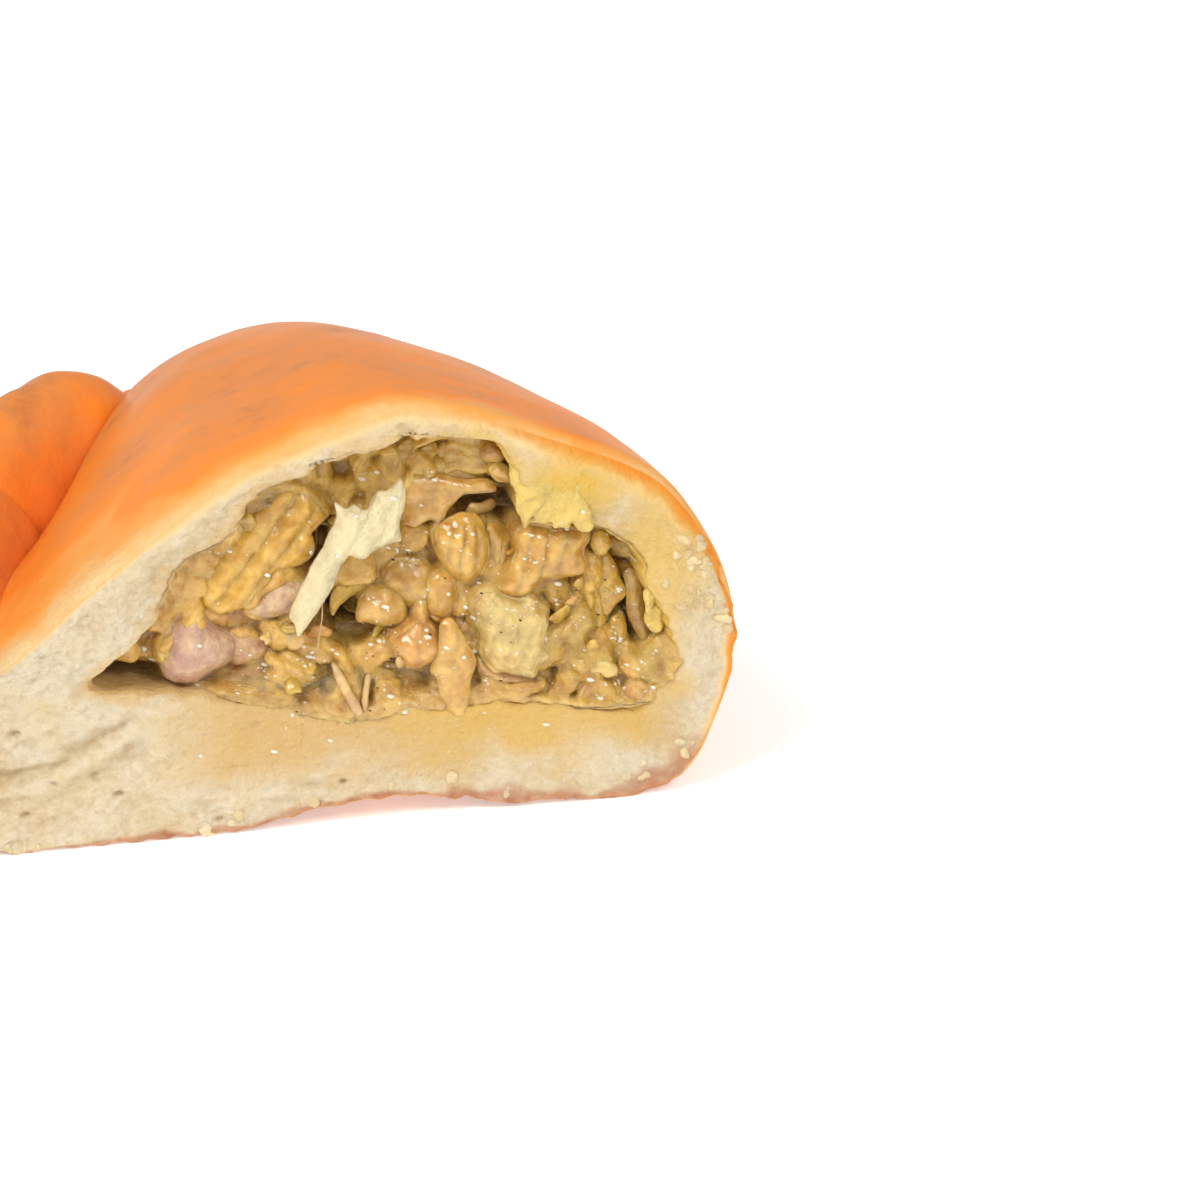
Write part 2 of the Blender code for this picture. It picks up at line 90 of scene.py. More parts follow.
# The pocket that holds the filling
POCKET_CENTRE = (5.0, 24.0)
POCKET_END = (2.0, 19.0)
POCKET_DEPTH = 57.0
POCKET_HALF = (20.0, 15.0)
POCKET_BLUNTNESS = 0.62
POCKET_MORPH = 1.3
POCKET_OUTLINE = (
    (-24.0, 18.3), (-18.6, 16.7), (-8.6, 15.2), (1.5, 12.2), (6.3, 12.6), (17.4, 12.6),
    (30.2, 10.8), (35.2, 13.4), (35.4, 17.0), (32.4, 24.1), (30.8, 28.2), (26.2, 31.2),
    (20.2, 31.9), (19.0, 36.5), (16.6, 41.2), (7.3, 41.4), (-0.7, 39.4), (-6.4, 37.2),
    (-9.4, 33.2), (-14.2, 30.4), (-17.6, 24.6),
)

# The rope of pleats: x, y, z of its middle, half width, height above it
ROPE = (
    (-35.5, 1.2, 8.0, 6.5, 7.5), (-37.0, 9.0, 8.5, 8.6, 11.5), (-37.2, 23.0, 9.0, 8.8, 16.0),
    (-34.6, 38.0, 10.0, 9.4, 19.5), (-28.0, 50.5, 10.5, 9.6, 19.2), (-18.5, 60.5, 10.0, 9.4, 20.3),
    (-7.5, 68.0, 9.0, 8.6, 13.5), (3.5, 73.0, 7.5, 5.0, 5.5),
)
ROPE_DEPTH = 14.0
PLEATS = 3.1
PLEAT_START = 0.33
PLEAT_DEPTH = 0.2
PLEAT_SLANT = 0.3
END_BLUNTNESS = 12
PRESSED = (0.3, 0.14, 0.22)  # where its inner side is pressed in, over how much, and how far

# The front of the filling
FRONT_FLOOR = 0.8
FRONT_SLOPE = 0.14
FRONT_RELIEF = 0.5
FRONT_WAVES = (5.0, 3)  # their size in mm and their seed
GAP_DEEPER = 1.3  # the gaps here against the source's
GAP_WIDER = 1.15
GAPS = (  # x, z, half width, half height, depth
    (2.2, 22.3, 2.3, 2.1, 8.0), (-1.4, 31.0, 1.4, 3.0, 6.0), (16.0, 32.6, 3.6, 1.7, 6.5),
    (30.6, 25.4, 1.3, 2.2, 7.0), (29.9, 20.0, 1.2, 1.0, 5.0), (7.3, 13.6, 3.4, 2.4, 6.0),
    (-19.6, 17.4, 4.2, 1.0, 5.0), (-5.5, 35.4, 1.4, 1.0, 3.0), (32.6, 17.6, 1.4, 1.2, 4.0),
)
CORE_GAP = -1.2

# Where two layers of dough met on the cut, x and z
SEAM = ((-34.2, 6.7), (-29.6, 7.9), (-26.0, 9.2), (-23.4, 10.9), (-20.8, 12.4))

# Fibres that hang loose: x, depth and z of points along each, and its thickness
THREADS = (
    (((-0.9, 1.6, 25.5), (-0.8, 0.9, 24.2), (-0.9, 0.7, 23.0), (-1.2, 0.9, 21.2), (-1.3, 1.6, 19.2)), 0.22),
    (((0.2, 2.2, 17.6), (1.2, 0.6, 15.3), (2.2, 0.2, 13.2), (2.6, 0.6, 12.0)), 0.95),
    (((0.6, 2.0, 14.6), (1.6, 0.7, 12.5), (1.7, 0.5, 10.6)), 0.8),
    (((3.9, 2.0, 16.0), (3.3, 0.8, 14.0), (3.2, 0.7, 12.2)), 0.7),
    (((31.2, 3.0, 26.6), (32.4, 2.2, 25.0), (33.2, 1.6, 22.6), (33.2, 1.8, 20.6)), 0.3),
)

# Colours of the small chopped pieces, the frayed crumb, the flakes and the loose fibres
SCRAP_COLOURS = ("#C99A3C", "#D2AE52", "#B9922C", "#D8B070", "#C98F54", "#DDBE78", "#C2A034")
FRAY_COLOURS = ("#EBCB98", "#F0D4A4")
FLAKE_COLOURS = ("#E4CC9E", "#E6D2AA")
FIBRE_COLOUR = "#D9B184"

# Where the drops' cream white paints the juice's glints most, x and z as seen on the cut's plane
GLINTS = (
    (7.1, 30.6), (7.9, 30.1), (8.5, 29.5), (13.9, 29.3), (13.1, 31.2), (20.7, 30.2), (20.7, 28.0),
    (13.2, 25.1), (9.6, 25.1), (13.6, 17.5), (4.4, 20.6), (5.5, 21.4), (9.4, 20.4), (-3.2, 18.5),
    (-0.2, 19.3), (-6.6, 17.9), (-9.9, 16.6), (-18.7, 20.9), (11.2, 15.8), (15.3, 14.6),
    (27.8, 12.5), (24.7, 20.7), (22.7, 23.0), (29.4, 24.1), (33.1, 18.8), (17.9, 22.4),
    (14.1, 21.9), (27.1, 38.9), (9.8, 38.1), (-1.6, 10.5), (-7.2, 18.5), (32.3, 15.7),
    (29.7, 18.2), (7.8, 12.4), (24.0, 31.0),
)

# Frayed white crumb on the fold's rim, and flakes along the bottom edge, x and z on the cut
FRAYS = (
    (38.0, 25.3), (39.3, 28.0), (40.3, 30.7), (41.0, 31.4), (40.9, 28.9), (38.6, 23.0),
    (37.0, 22.0), (36.0, 24.2), (37.4, 26.7), (39.9, 26.2), (39.0, 30.0), (38.2, 31.6),
    (41.2, 24.0), (41.3, 21.5), (40.9, 18.6), (36.6, 28.6),
)
FLAKES = (
    (12.3, 3.9), (13.6, 2.4), (-16.7, 1.4), (-13.7, 1.0), (-10.6, 1.2), (-32.5, 1.0),
    (-30.0, 0.8), (-4.9, 2.8), (-0.7, 3.0), (17.0, 2.0), (23.3, 1.4), (29.7, 1.5), (37.0, 4.2),
    (38.1, 6.0), (-38.0, 1.2), (-42.0, 1.5), (6.0, 3.4), (33.0, 2.6),
)

# The camera's line of sight: steps in x and z for a step of 1 back from the cut
SIGHT = (0.207, -0.455)

# Pieces in front of the heap. Each is a pillow inside an outline that is given as it shows on the
# cut's plane, x and z, and that moves back along the line of sight to its own depth.
# name, node or "", style, colour, depth, half thickness, roundness, ragged, tilt x and z,
# ridges (direction in degrees, spacing, height), outline
PILLOWS = (
    ("strip", "torn_dough_strip", "dough", "#EADCB0", 0.1, 1.1, 0.9, 0.22, 0.02, 0.0, (25, 2.2, 0.2), (
        (0.7, 35.9), (1.7, 35.2), (2.7, 35.5), (3.7, 34.9), (4.5, 35.6), (5.0, 36.7), (6.2, 36.9),
        (7.3, 37.8), (7.7, 36.2), (7.5, 34.6), (7.0, 33.0), (7.1, 31.3), (6.0, 31.1), (4.8, 30.6),
        (3.5, 29.6), (2.2, 30.1), (1.3, 29.5), (0.6, 28.0), (-0.1, 26.5), (-1.1, 24.9), (-2.2, 23.4),
        (-3.4, 21.8), (-3.7, 22.7), (-4.3, 24.1), (-3.4, 26.2), (-2.4, 28.2), (-1.5, 29.9),
        (-0.6, 31.0), (0.1, 32.5), (0.8, 34.3))),
    ("soaked_layer", "", "onion", "#D3A030", 3.4, 1.2, 1.2, 0.25, -0.10, 0.20, (40, 2.3, 0.45), (
        (-14.3, 31.6), (-12.1, 33.8), (-7.8, 37.1), (-4.7, 38.7), (-2.1, 37.2), (-0.6, 34.8),
        (-1.9, 33.2), (-2.3, 30.5), (-5.5, 29.6), (-6.6, 28.2), (-9.4, 26.0), (-13.2, 26.0))),
    ("onion_top_back", "", "onion", "#D0A537", 5.4, 1.1, 1.4, 0.10, 0.0, 0.15, (100, 1.6, 0.12), (
        (8.6, 39.6), (10.1, 40.9), (12.4, 41.1), (14.4, 40.2), (15.4, 38.8), (15.2, 37.2),
        (13.6, 36.5), (11.3, 36.8), (9.0, 37.3), (8.4, 38.4))),
    ("onion_flap", "onion_top", "onion", "#CC9A50", 3.6, 0.8, 0.9, 0.12, 0.0, 0.25, (80, 2.6, 0.15), (
        (7.3, 38.1), (9.5, 38.4), (11.8, 38.0), (13.6, 37.4), (16.1, 37.2), (16.7, 36.0),
        (13.7, 35.9), (12.1, 34.9), (11.4, 33.7), (10.8, 33.0), (10.2, 33.7), (9.3, 33.5),
        (8.4, 33.1), (7.8, 33.3), (7.3, 34.3))),
    ("lump_top", "", "chicken", "#C58944", 3.4, 1.2, 1.7, 0.15, 0.0, 0.0, (0, 1.0, 0.0), (
        (15.4, 40.4), (16.2, 41.2), (17.3, 41.0), (17.9, 39.9), (17.1, 39.0), (15.9, 39.2))),
    ("white_lump", "", "chicken", "#E4B665", 2.6, 0.9, 1.3, 0.08, 0.0, 0.0, (30, 0.9, 0.08), (
        (16.2, 38.2), (17.0, 38.9), (17.9, 38.5), (18.9, 37.4), (18.3, 36.8), (17.0, 37.0))),
    ("dough_flap", "", "dough", "#DEC069", 0.5, 0.9, 0.7, 0.32, -0.08, 0.20, (70, 2.1, 0.16), (
        (18.4, 37.2), (18.7, 39.6), (21.5, 40.8), (24.0, 39.8), (25.5, 36.9), (25.9, 34.4),
        (26.6, 32.7), (26.6, 31.6), (25.3, 31.3), (24.4, 32.3), (24.1, 31.6), (22.7, 31.8),
        (22.3, 32.5), (21.0, 32.5), (20.4, 32.9), (19.7, 31.7), (19.2, 33.5), (18.8, 35.4))),
    ("meat_recess", "", "chicken", "#A06C30", 8.5, 1.4, 1.8, 0.25, 0.0, 0.20, (65, 1.1, 0.20), (
        (10.6, 35.4), (12.9, 36.4), (16.5, 36.6), (18.8, 35.4), (19.6, 33.2), (19.0, 30.6),
        (16.8, 29.2), (13.2, 30.2), (11.0, 32.4))),
    ("onion_tall", "onion_tall", "onion", "#CC9A38", 2.6, 2.0, 3.0, 0.06, 0.05, 0.05, (8, 1.35, 0.55), (
        (10.3, 32.1), (11.7, 33.2), (13.5, 33.8), (15.1, 33.2), (15.9, 31.1), (16.0, 28.9),
        (15.3, 27.3), (14.0, 26.2), (12.5, 26.7), (11.3, 28.4), (10.5, 30.2))),
    ("onion_ridges", "", "onion", "#B7892D", 4.0, 1.5, 2.0, 0.12, 0.15, 0.0, (12, 0.95, 0.22), (
        (15.2, 31.9), (16.3, 32.6), (17.8, 31.9), (19.0, 30.5), (19.3, 28.6), (18.4, 26.9),
        (17.0, 26.0), (15.7, 27.2), (15.3, 29.5))),
    ("onion_wide", "onion_wide", "onion", "#CC9740", 1.8, 1.3, 1.6, 0.10, 0.02, 0.10, (14, 1.9, 0.42), (
        (19.0, 30.9), (20.1, 31.9), (21.9, 31.8), (24.0, 31.4), (25.8, 30.8), (26.4, 29.7),
        (25.8, 28.7), (26.1, 26.9), (25.3, 26.0), (23.5, 25.9), (21.6, 25.7), (20.3, 24.8),
        (18.9, 24.3), (17.6, 24.7), (16.9, 25.6), (17.8, 27.1), (18.8, 28.7))),
    ("pale_lump", "", "onion", "#DBB048", 2.4, 0.9, 1.4, 0.06, 0.0, 0.0, (0, 1.0, 0.0), (
        (26.8, 30.2), (27.5, 30.7), (28.3, 30.3), (28.7, 29.2), (28.2, 28.2), (27.3, 28.1),
        (26.7, 29.1))),
    ("red_flap", "", "onion", "#B16428", 5.0, 0.5, 0.5, 0.10, 0.3, 0.0, (60, 1.0, 0.08), (
        (31.0, 27.8), (32.0, 27.4), (33.0, 25.2), (32.8, 23.4), (31.9, 24.5), (31.2, 25.9))),
    ("onion_petal", "onion_petal", "onion", "#C3972F", 3.6, 0.55, 0.5, 0.06, 0.20, 0.15, (70, 1.3, 0.10), (
        (27.0, 26.6), (28.1, 28.1), (29.1, 27.2), (29.8, 25.2), (30.5, 23.7), (30.1, 23.0),
        (29.2, 22.4), (28.3, 21.5), (27.4, 22.6))),
    ("onion_green", "onion_green", "onion", "#C39321", 3.6, 1.5, 1.7, 0.16, 0.05, 0.05, (-6, 1.25, 0.5), (
        (23.5, 24.4), (24.2, 26.2), (25.5, 26.8), (27.1, 26.2), (28.1, 24.0), (28.3, 20.6),
        (27.9, 18.7), (26.6, 18.2), (25.1, 18.0), (23.9, 17.6), (23.4, 19.9))),
    ("onion_strip", "onion_strip", "onion", "#A77F34", 3.4, 0.6, 0.7, 0.05, -0.10, 0.05, (20, 0.7, 0.06), (
        (30.1, 25.6), (30.8, 26.2), (31.6, 25.6), (32.1, 23.6), (32.4, 20.8), (32.9, 18.2),
        (32.6, 17.2), (31.9, 18.1), (31.0, 19.8), (30.4, 21.5), (30.4, 23.8))),
    ("flake_a", "", "dough", "#E6CA71", 1.0, 0.5, 0.5, 0.22, 0.15, 0.1, (50, 0.8, 0.12), (
        (32.1, 23.4), (32.8, 24.8), (33.9, 25.2), (34.9, 24.4), (34.3, 23.2), (33.6, 22.9),
        (33.1, 21.8), (32.5, 21.3), (32.2, 22.2))),
    ("flake_b", "", "dough", "#E3C469", 1.4, 0.5, 0.5, 0.20, -0.1, 0.1, (70, 0.8, 0.12), (
        (32.4, 21.3), (33.4, 22.3), (34.5, 22.1), (34.0, 19.4), (33.1, 18.9), (32.2, 19.9))),
    ("flake_c", "", "dough", "#E3C775", 0.6, 0.45, 0.5, 0.20, 0.1, 0.1, (20, 0.8, 0.10), (
        (34.3, 22.3), (35.6, 21.9), (35.4, 20.4), (34.6, 20.7), (34.2, 21.5))),
    ("onion_centre", "onion_centre", "chicken", "#DFC780", 1.2, 1.9, 2.1, 0.22, 0.0, 0.06,
     (25, 1.7, 0.22), (
        (14.4, 23.5), (15.2, 24.9), (16.4, 25.0), (17.8, 24.3), (19.3, 23.8), (20.3, 24.2),
        (21.4, 22.9), (22.1, 21.9), (21.9, 20.1), (21.8, 18.4), (22.3, 17.4), (21.3, 16.5),
        (20.6, 15.0), (19.2, 15.3), (17.7, 15.9), (15.9, 16.6), (15.2, 18.2), (15.3, 20.1),
        (14.6, 21.7))),
    ("pink_rim", "", "chicken", "#C99468", 1.5, 0.9, 1.2, 0.08, 0.0, -0.1, (0, 1.0, 0.0), (
        (14.7, 17.9), (15.6, 16.9), (17.2, 16.2), (19.2, 15.7), (20.7, 15.1), (20.1, 14.0),
        (18.2, 14.1), (16.1, 14.8), (14.9, 16.1))),
    ("finger", "chicken_finger", "onion", "#E1AE58", 0.4, 1.5, 2.1, 0.05, 0.0, -0.04, (10, 2.2, 0.16), (
        (11.0, 21.9), (12.1, 22.4), (13.1, 20.9), (14.3, 18.5), (14.7, 17.1), (14.1, 15.2),
        (13.9, 12.9), (13.5, 11.3), (12.6, 10.9), (11.7, 11.6), (10.9, 13.5), (10.6, 15.5),
        (9.9, 16.7), (10.5, 18.3), (10.8, 20.2))),
    ("orange_lump", "chicken_orange", "onion", "#D99149", 1.0, 1.7, 2.4, 0.10, 0.0, 0.0,
     (10, 1.8, 0.18), (
        (6.1, 20.5), (7.2, 21.4), (8.6, 22.3), (9.8, 21.8), (10.9, 20.5), (11.3, 18.8), (10.0, 17.7),
        (8.1, 17.2), (6.9, 17.9), (6.2, 19.3))),
    ("orange_ridge", "", "onion", "#D3944D", 1.6, 1.0, 1.0, 0.08, 0.0, 0.15, (10, 1.2, 0.1), (
        (7.9, 21.0), (8.2, 23.0), (8.7, 24.6), (9.5, 24.3), (9.8, 22.6), (10.1, 20.9), (9.2, 20.0))),
    ("leek_slice", "leek_slice", "onion", "#C1901B", 3.6, 1.2, 1.3, 0.20, 0.0, 0.0, (15, 0.9, 0.25), (
        (28.3, 19.8), (29.2, 21.2), (30.2, 20.9), (30.5, 18.7), (31.4, 16.9), (31.1, 15.6),
        (30.2, 15.1), (28.9, 15.6), (28.1, 17.2))),
    ("chicken_middle", "chicken_middle", "chicken", "#D8A64F", 2.6, 1.4, 1.8, 0.25, 0.0, 0.0,
     (60, 0.8, 0.22), (
        (23.7, 16.2), (24.7, 17.5), (26.3, 17.6), (27.7, 16.9), (28.4, 15.2), (28.1, 13.8),
        (26.8, 13.6), (25.4, 13.9), (24.0, 14.4))),
    ("pale_bit", "", "chicken", "#E3B563", 1.8, 0.7, 1.0, 0.10, 0.0, 0.0, (60, 0.7, 0.10), (
        (22.6, 13.5), (23.3, 14.4), (24.5, 14.3), (25.0, 13.3), (24.4, 12.7), (22.9, 12.8))),
    ("leek_bits", "", "onion", "#D0A33A", 2.6, 0.8, 0.9, 0.15, 0.0, 0.0, (0, 0.7, 0.20), (
        (28.3, 15.5), (29.4, 15.9), (30.5, 15.2), (31.2, 14.0), (30.2, 13.5), (28.7, 13.9))),
    ("chicken_right", "chicken_right", "chicken", "#D3944F", 2.0, 1.5, 2.1, 0.22, 0.0, 0.0,
     (75, 0.9, 0.20), (
        (31.5, 14.9), (32.1, 16.4), (33.4, 17.1), (34.7, 16.5), (35.5, 14.6), (35.8, 12.5),
        (35.0, 11.6), (33.7, 11.8), (32.7, 13.1), (31.8, 13.8))),
    ("small_lump", "", "chicken", "#DBA35C", 1.0, 1.1, 1.8, 0.12, 0.0, 0.0, (0, 1.0, 0.0), (
        (30.1, 12.2), (30.5, 13.3), (31.6, 13.5), (32.7, 12.5), (32.8, 11.2), (31.8, 10.5),
        (30.7, 10.8))),
    ("yellow_bit", "", "onion", "#DAA228", 1.6, 0.8, 1.0, 0.10, 0.0, 0.0, (20, 0.9, 0.10), (
        (27.8, 12.7), (28.7, 13.7), (29.8, 13.2), (30.0, 11.7), (29.2, 11.1), (28.0, 11.6))),
    ("bead_lump", "", "onion", "#C69A3A", 2.4, 1.0, 1.6, 0.08, 0.0, 0.0, (0, 1.0, 0.0), (
        (13.9, 23.6), (15.1, 24.3), (15.9, 22.8), (15.4, 20.9), (14.2, 20.7), (13.6, 22.2))),
    ("pale_low_a", "", "chicken", "#E4C380", 2.0, 0.9, 1.3, 0.10, 0.0, 0.0, (0, 1.0, 0.0), (
        (6.6, 12.8), (8.3, 13.6), (10.1, 13.1), (10.8, 11.5), (9.5, 10.4), (7.3, 10.6))),
    ("amber_left", "", "onion", "#C48F34", 3.0, 1.3, 1.8, 0.10, 0.0, 0.05, (70, 1.8, 0.12), (
        (5.3, 28.2), (6.6, 29.4), (8.8, 29.0), (10.3, 27.8), (10.9, 25.5), (10.0, 23.4),
        (8.0, 23.9), (6.5, 25.2), (5.3, 26.6))),
    ("amber_mid", "", "onion", "#D09B3A", 2.0, 1.1, 1.5, 0.08, 0.0, 0.0, (15, 1.4, 0.12), (
        (9.6, 26.7), (11.1, 27.6), (12.5, 26.5), (12.3, 23.7), (11.3, 22.0), (9.9, 22.8),
        (9.4, 24.5))),
    ("back_arm", "", "dough", "#D2AC4F", 3.6, 0.8, 0.8, 0.16, 0.0, 0.0, (60, 1.2, 0.12), (
        (0.6, 27.5), (2.3, 29.0), (3.5, 28.8), (4.4, 27.5), (4.0, 26.1), (1.9, 25.8), (0.6, 24.8),
        (-0.2, 23.8), (-0.3, 25.4))),
    ("chicken_back", "chicken_back", "pink", "#D4B49E", 2.9, 1.5, 2.0, 0.12, 0.0, 0.05,
     (35, 1.5, 0.14), (
        (-8.7, 25.4), (-7.1, 27.1), (-5.6, 27.9), (-3.6, 28.0), (-2.3, 27.3), (-2.7, 25.6),
        (-4.2, 24.5), (-5.7, 24.2), (-7.2, 24.2), (-8.5, 24.5))),
    ("pink_two", "", "pink", "#BC8878", 2.9, 1.1, 1.3, 0.12, 0.0, 0.0, (20, 1.0, 0.12), (
        (-10.7, 21.7), (-9.3, 22.5), (-7.8, 22.2), (-6.6, 21.2), (-7.0, 20.0), (-8.9, 19.3),
        (-10.4, 19.5))),
    ("chicken_left", "chicken_left", "pink", "#C2989A", 2.6, 2.0, 2.4, 0.12, 0.0, 0.08,
     (30, 2.2, 0.22), (
        (-16.8, 23.9), (-14.7, 25.3), (-13.2, 24.9), (-11.8, 23.2), (-10.1, 21.7), (-10.8, 19.8),
        (-12.5, 18.8), (-14.5, 17.8), (-17.0, 18.4), (-17.6, 20.4), (-17.3, 22.3))),
    ("fat", "", "onion", "#DEAD49", 2.4, 0.8, 1.1, 0.08, 0.0, 0.0, (0, 1.0, 0.0), (
        (-18.2, 22.1), (-17.5, 23.1), (-16.6, 22.6), (-16.7, 20.9), (-17.2, 20.0), (-18.2, 20.5))),
    ("beige_lump", "chicken_beige", "onion", "#CF9D4B", 2.4, 1.5, 2.1, 0.08, 0.0, 0.0,
     (-30, 1.5, 0.14), (
        (2.3, 24.1), (2.8, 25.6), (4.2, 26.3), (6.0, 25.9), (7.3, 24.4), (7.2, 22.6), (5.4, 22.2),
        (3.6, 22.6), (2.4, 22.9))),
    ("slope_lump", "", "chicken", "#C68D3A", 3.6, 1.1, 1.5, 0.15, 0.0, 0.0, (20, 1.2, 0.15), (
        (-16.0, 24.7), (-14.2, 26.3), (-12.2, 26.5), (-10.4, 25.6), (-10.8, 23.8), (-13.0, 23.8),
        (-14.8, 23.9))),
)
PILLOW_SEED = 40
# Pieces that hang free; juice fills the corners round all the others
FREE_PIECES = (
    "onion_flap", "dough_flap", "meat_recess", "red_flap", "onion_petal", "onion_strip", "flake_a",
    "flake_b", "flake_c", "finger", "back_arm", "pink_rim", "strip",
)


def linear(code):
    """The linear colour of an sRGB hex value such as #E8873E."""
    parts = [int(code[i:i + 2], 16) / 255 for i in (1, 3, 5)]
    return np.array([c / 12.92 if c <= 0.04045 else ((c + 0.055) / 1.055) ** 2.4 for c in parts])


# ---------------------------------------------------------------- noise


# Large odd numbers that mix the bits of a lattice point's coordinates, and the shifts between
SEED_FACTOR = 2654435761
LATTICE_FACTORS = (73856093, 19349663, 83492791)
BIT_MIXERS = ((15, 2246822519), (13, 3266489917))
LOW_BITS = np.uint64(0xFFFFFFFF)


def lattice_value(cell, seed):
    """A number from 0 to 1 for each whole-numbered lattice point, from its bits mixed together.

    The coordinates are multiplied by large odd numbers and combined, and the low 32 bits are
    then shifted on themselves and multiplied twice.
    """
    cell = cell.astype(np.int64).astype(np.uint64)
    bits = np.uint64(seed * SEED_FACTOR)
    for axis, factor in enumerate(LATTICE_FACTORS):
        bits = bits ^ cell[..., axis] * np.uint64(factor)
    bits = bits & LOW_BITS
    for shift, factor in BIT_MIXERS:
        bits = ((bits ^ (bits >> np.uint64(shift))) * np.uint64(factor)) & LOW_BITS
    return (bits ^ (bits >> np.uint64(16))) / 0xFFFFFFFF


def unevenness(points, size, seed, octaves):
    """Smooth noise from about -1 to 1: random lattice values blended by smooth steps.

    Each further octave has half the size and half the strength.
    """
    total = np.zeros(points.shape[:-1])
    for octave in range(octaves):
        at = points * (2**octave / size)
        low = np.floor(at)
        part = at - low
        part = part * part * (3 - 2 * part)
        value = np.zeros(points.shape[:-1])
        for corner in np.ndindex(2, 2, 2):
            share = np.where(np.array(corner) == 1, part, 1 - part).prod(axis=-1)
            value += share * lattice_value(low + corner, seed + 17 * octave)
        total += (2 * value - 1) * 0.5**octave
    return total


# Noise by name: how wide its largest lumps are in mm, its seed and its octaves
NOISES = {
    "pocket rim": (2.6, 11, 2), "fine pocket rim": (0.9, 12, 2), "pulled crumb": (1.7, 20, 3),
    "crumb mounds": (3.4, 21, 2), "crumb grains": (0.7, 22, 2), "cut swell": (7.0, 24, 2),
    "seam": (2.0, 25, 2), "frayed crumb": (1.5, 26, 3), "crust waves": (13.0, 31, 2),
    "fine crust waves": (3.0, 32, 2), "torn base": (1.5, 33, 3), "tufts": (1.6, 34, 3),
    "pool": (2.0, 40, 2), "pale stretch": (6.0, 41, 3), "wide mottle": (12.0, 42, 2),
    "crust band": (2.0, 43, 3), "base band": (3.0, 44, 3), "base spots": (1.0, 45, 2),
    "soaked band": (4.0, 46, 3), "soaked roof": (3.0, 47, 3), "soaked patch": (3.0, 48, 2),
    "streaks": (3.6, 49, 3), "rope baking": (9.0, 51, 3), "rope waves": (6.0, 52, 2),
    "rope wrinkles": (1.0, 53, 2), "heap swell": (1.8, 61, 2), "bend in x": (2.6, 64, 2),
    "bend in z": (2.6, 65, 2), "grain bend": (1.6, 66, 2), "spilt juice": (1.4, 68, 3),
    "knots": (0.9, 75, 2),
}

# Lattices: the step between their points in mm, and their seeds
PORES = (1.5, 23)
HEAP_GRAINS = (1.7, 67)
PORELESS = 0.86  # the share of the crumb's lattice points without a pore


def noise(points, name):
    """The named noise at each point."""
    return unevenness(points, *NOISES[name])


def nearest_cells(points, size, seed):
    """Distance to the nearest point of a jittered lattice, in steps, and that point's number."""
    at = points / size
    low = np.floor(at)
    near = np.full(points.shape[:-1], 9.0)
    number = np.zeros(points.shape[:-1])
    for corner in np.ndindex(3, 3, 3):
        cell = low + np.array(corner) - 1
        spot = np.stack([cell[..., i] + lattice_value(cell, seed + 5 * i) for i in range(3)], -1)
        away = np.linalg.norm(at - spot, axis=-1)
        closer = away < near
        number = np.where(closer, lattice_value(cell, seed + 91), number)
        near = np.where(closer, away, near)
    return near, number


def waves(points, size, seed):
    """The source's own unevenness: a sum of seeded sine waves about `size` long."""
    rng = np.random.default_rng(seed)
    count = 7
    total = np.zeros(points.shape[:-1])
    for _ in range(count):
        way = rng.normal(size=3)
        way *= TURN / (size * np.linalg.norm(way) * rng.uniform(0.7, 1.5))
        total += np.sin(points @ way + rng.uniform(0, TURN))
    return total / math.sqrt(count)


def unit(vectors):
    """Each vector divided by its length."""
    return vectors / np.linalg.norm(vectors, axis=-1, keepdims=True)


def turns(count):
    """Evenly spaced angles round a circle."""
    return np.arange(count) * TURN / count


def mixed(first, second, share):
    """The first value, with a share of it replaced by the second."""
    return first * (1 - share) + second * share


def smooth_step(low, high, value):
    """0 below low, 1 above high and a smooth rise between them."""
    part = np.clip((value - low) / (high - low), 0, 1)
    return part * part * (3 - 2 * part)


# ---------------------------------------------------------------- shapes of the body


def catmull_rom(points, steps):
    """A smooth closed curve through the points: each stretch is the usual cubic of four."""
    points = np.asarray(points, float)
    at = np.arange(len(points) * steps) / steps
    first = at.astype(int)
    part = (at - first)[:, None]
    before, here, after, beyond = (points[(first + i) % len(points)] for i in (-1, 0, 1, 2))
    return cubic(before, here, after, beyond, part)


def open_spline(points, steps):
    """A smooth open curve through the points: its ends are carried on straight."""
    points = np.asarray(points, float)
    ends = np.concatenate([2 * points[:1] - points[1:2], points, 2 * points[-1:] - points[-2:-1]])
    at = np.linspace(0, len(points) - 1, steps)
    first = np.minimum(at.astype(int), len(points) - 2)
    part = (at - first).reshape([-1] + [1] * (points.ndim - 1))
    return cubic(*(ends[first + i] for i in range(4)), part)


def cubic(before, here, after, beyond, part):
    """The Catmull-Rom cubic between two points, from them and their neighbours."""
    return 0.5 * (
        2 * here
        + (after - before) * part
        + (2 * before - 5 * here + 4 * after - beyond) * part**2
        + (3 * here - before - 3 * after + beyond) * part**3
    )


def points_at(x, z, y=0.0):
    """Points from their x and z, and y where it isn't 0."""
    return np.stack([x, y + 0 * x, z], -1)


def radius_of(outline, centre, angle):
    """Distance from the centre to the smooth outline, in the direction of each angle."""
    curve = catmull_rom(outline, 24) - np.asarray(centre)
    around = np.arctan2(curve[:, 1], curve[:, 0])
    reach = np.hypot(curve[:, 0], curve[:, 1])
    order = np.argsort(around)
    around, reach = around[order], reach[order]
    angles = np.concatenate([around - TURN, around, around + TURN])
    return np.interp(angle, angles, np.tile(reach, 3))


def ellipse_radius(angle, half):
    """Distance from the middle of an ellipse to its edge."""
    return 1 / np.hypot(np.cos(angle) / half[0], np.sin(angle) / half[1])


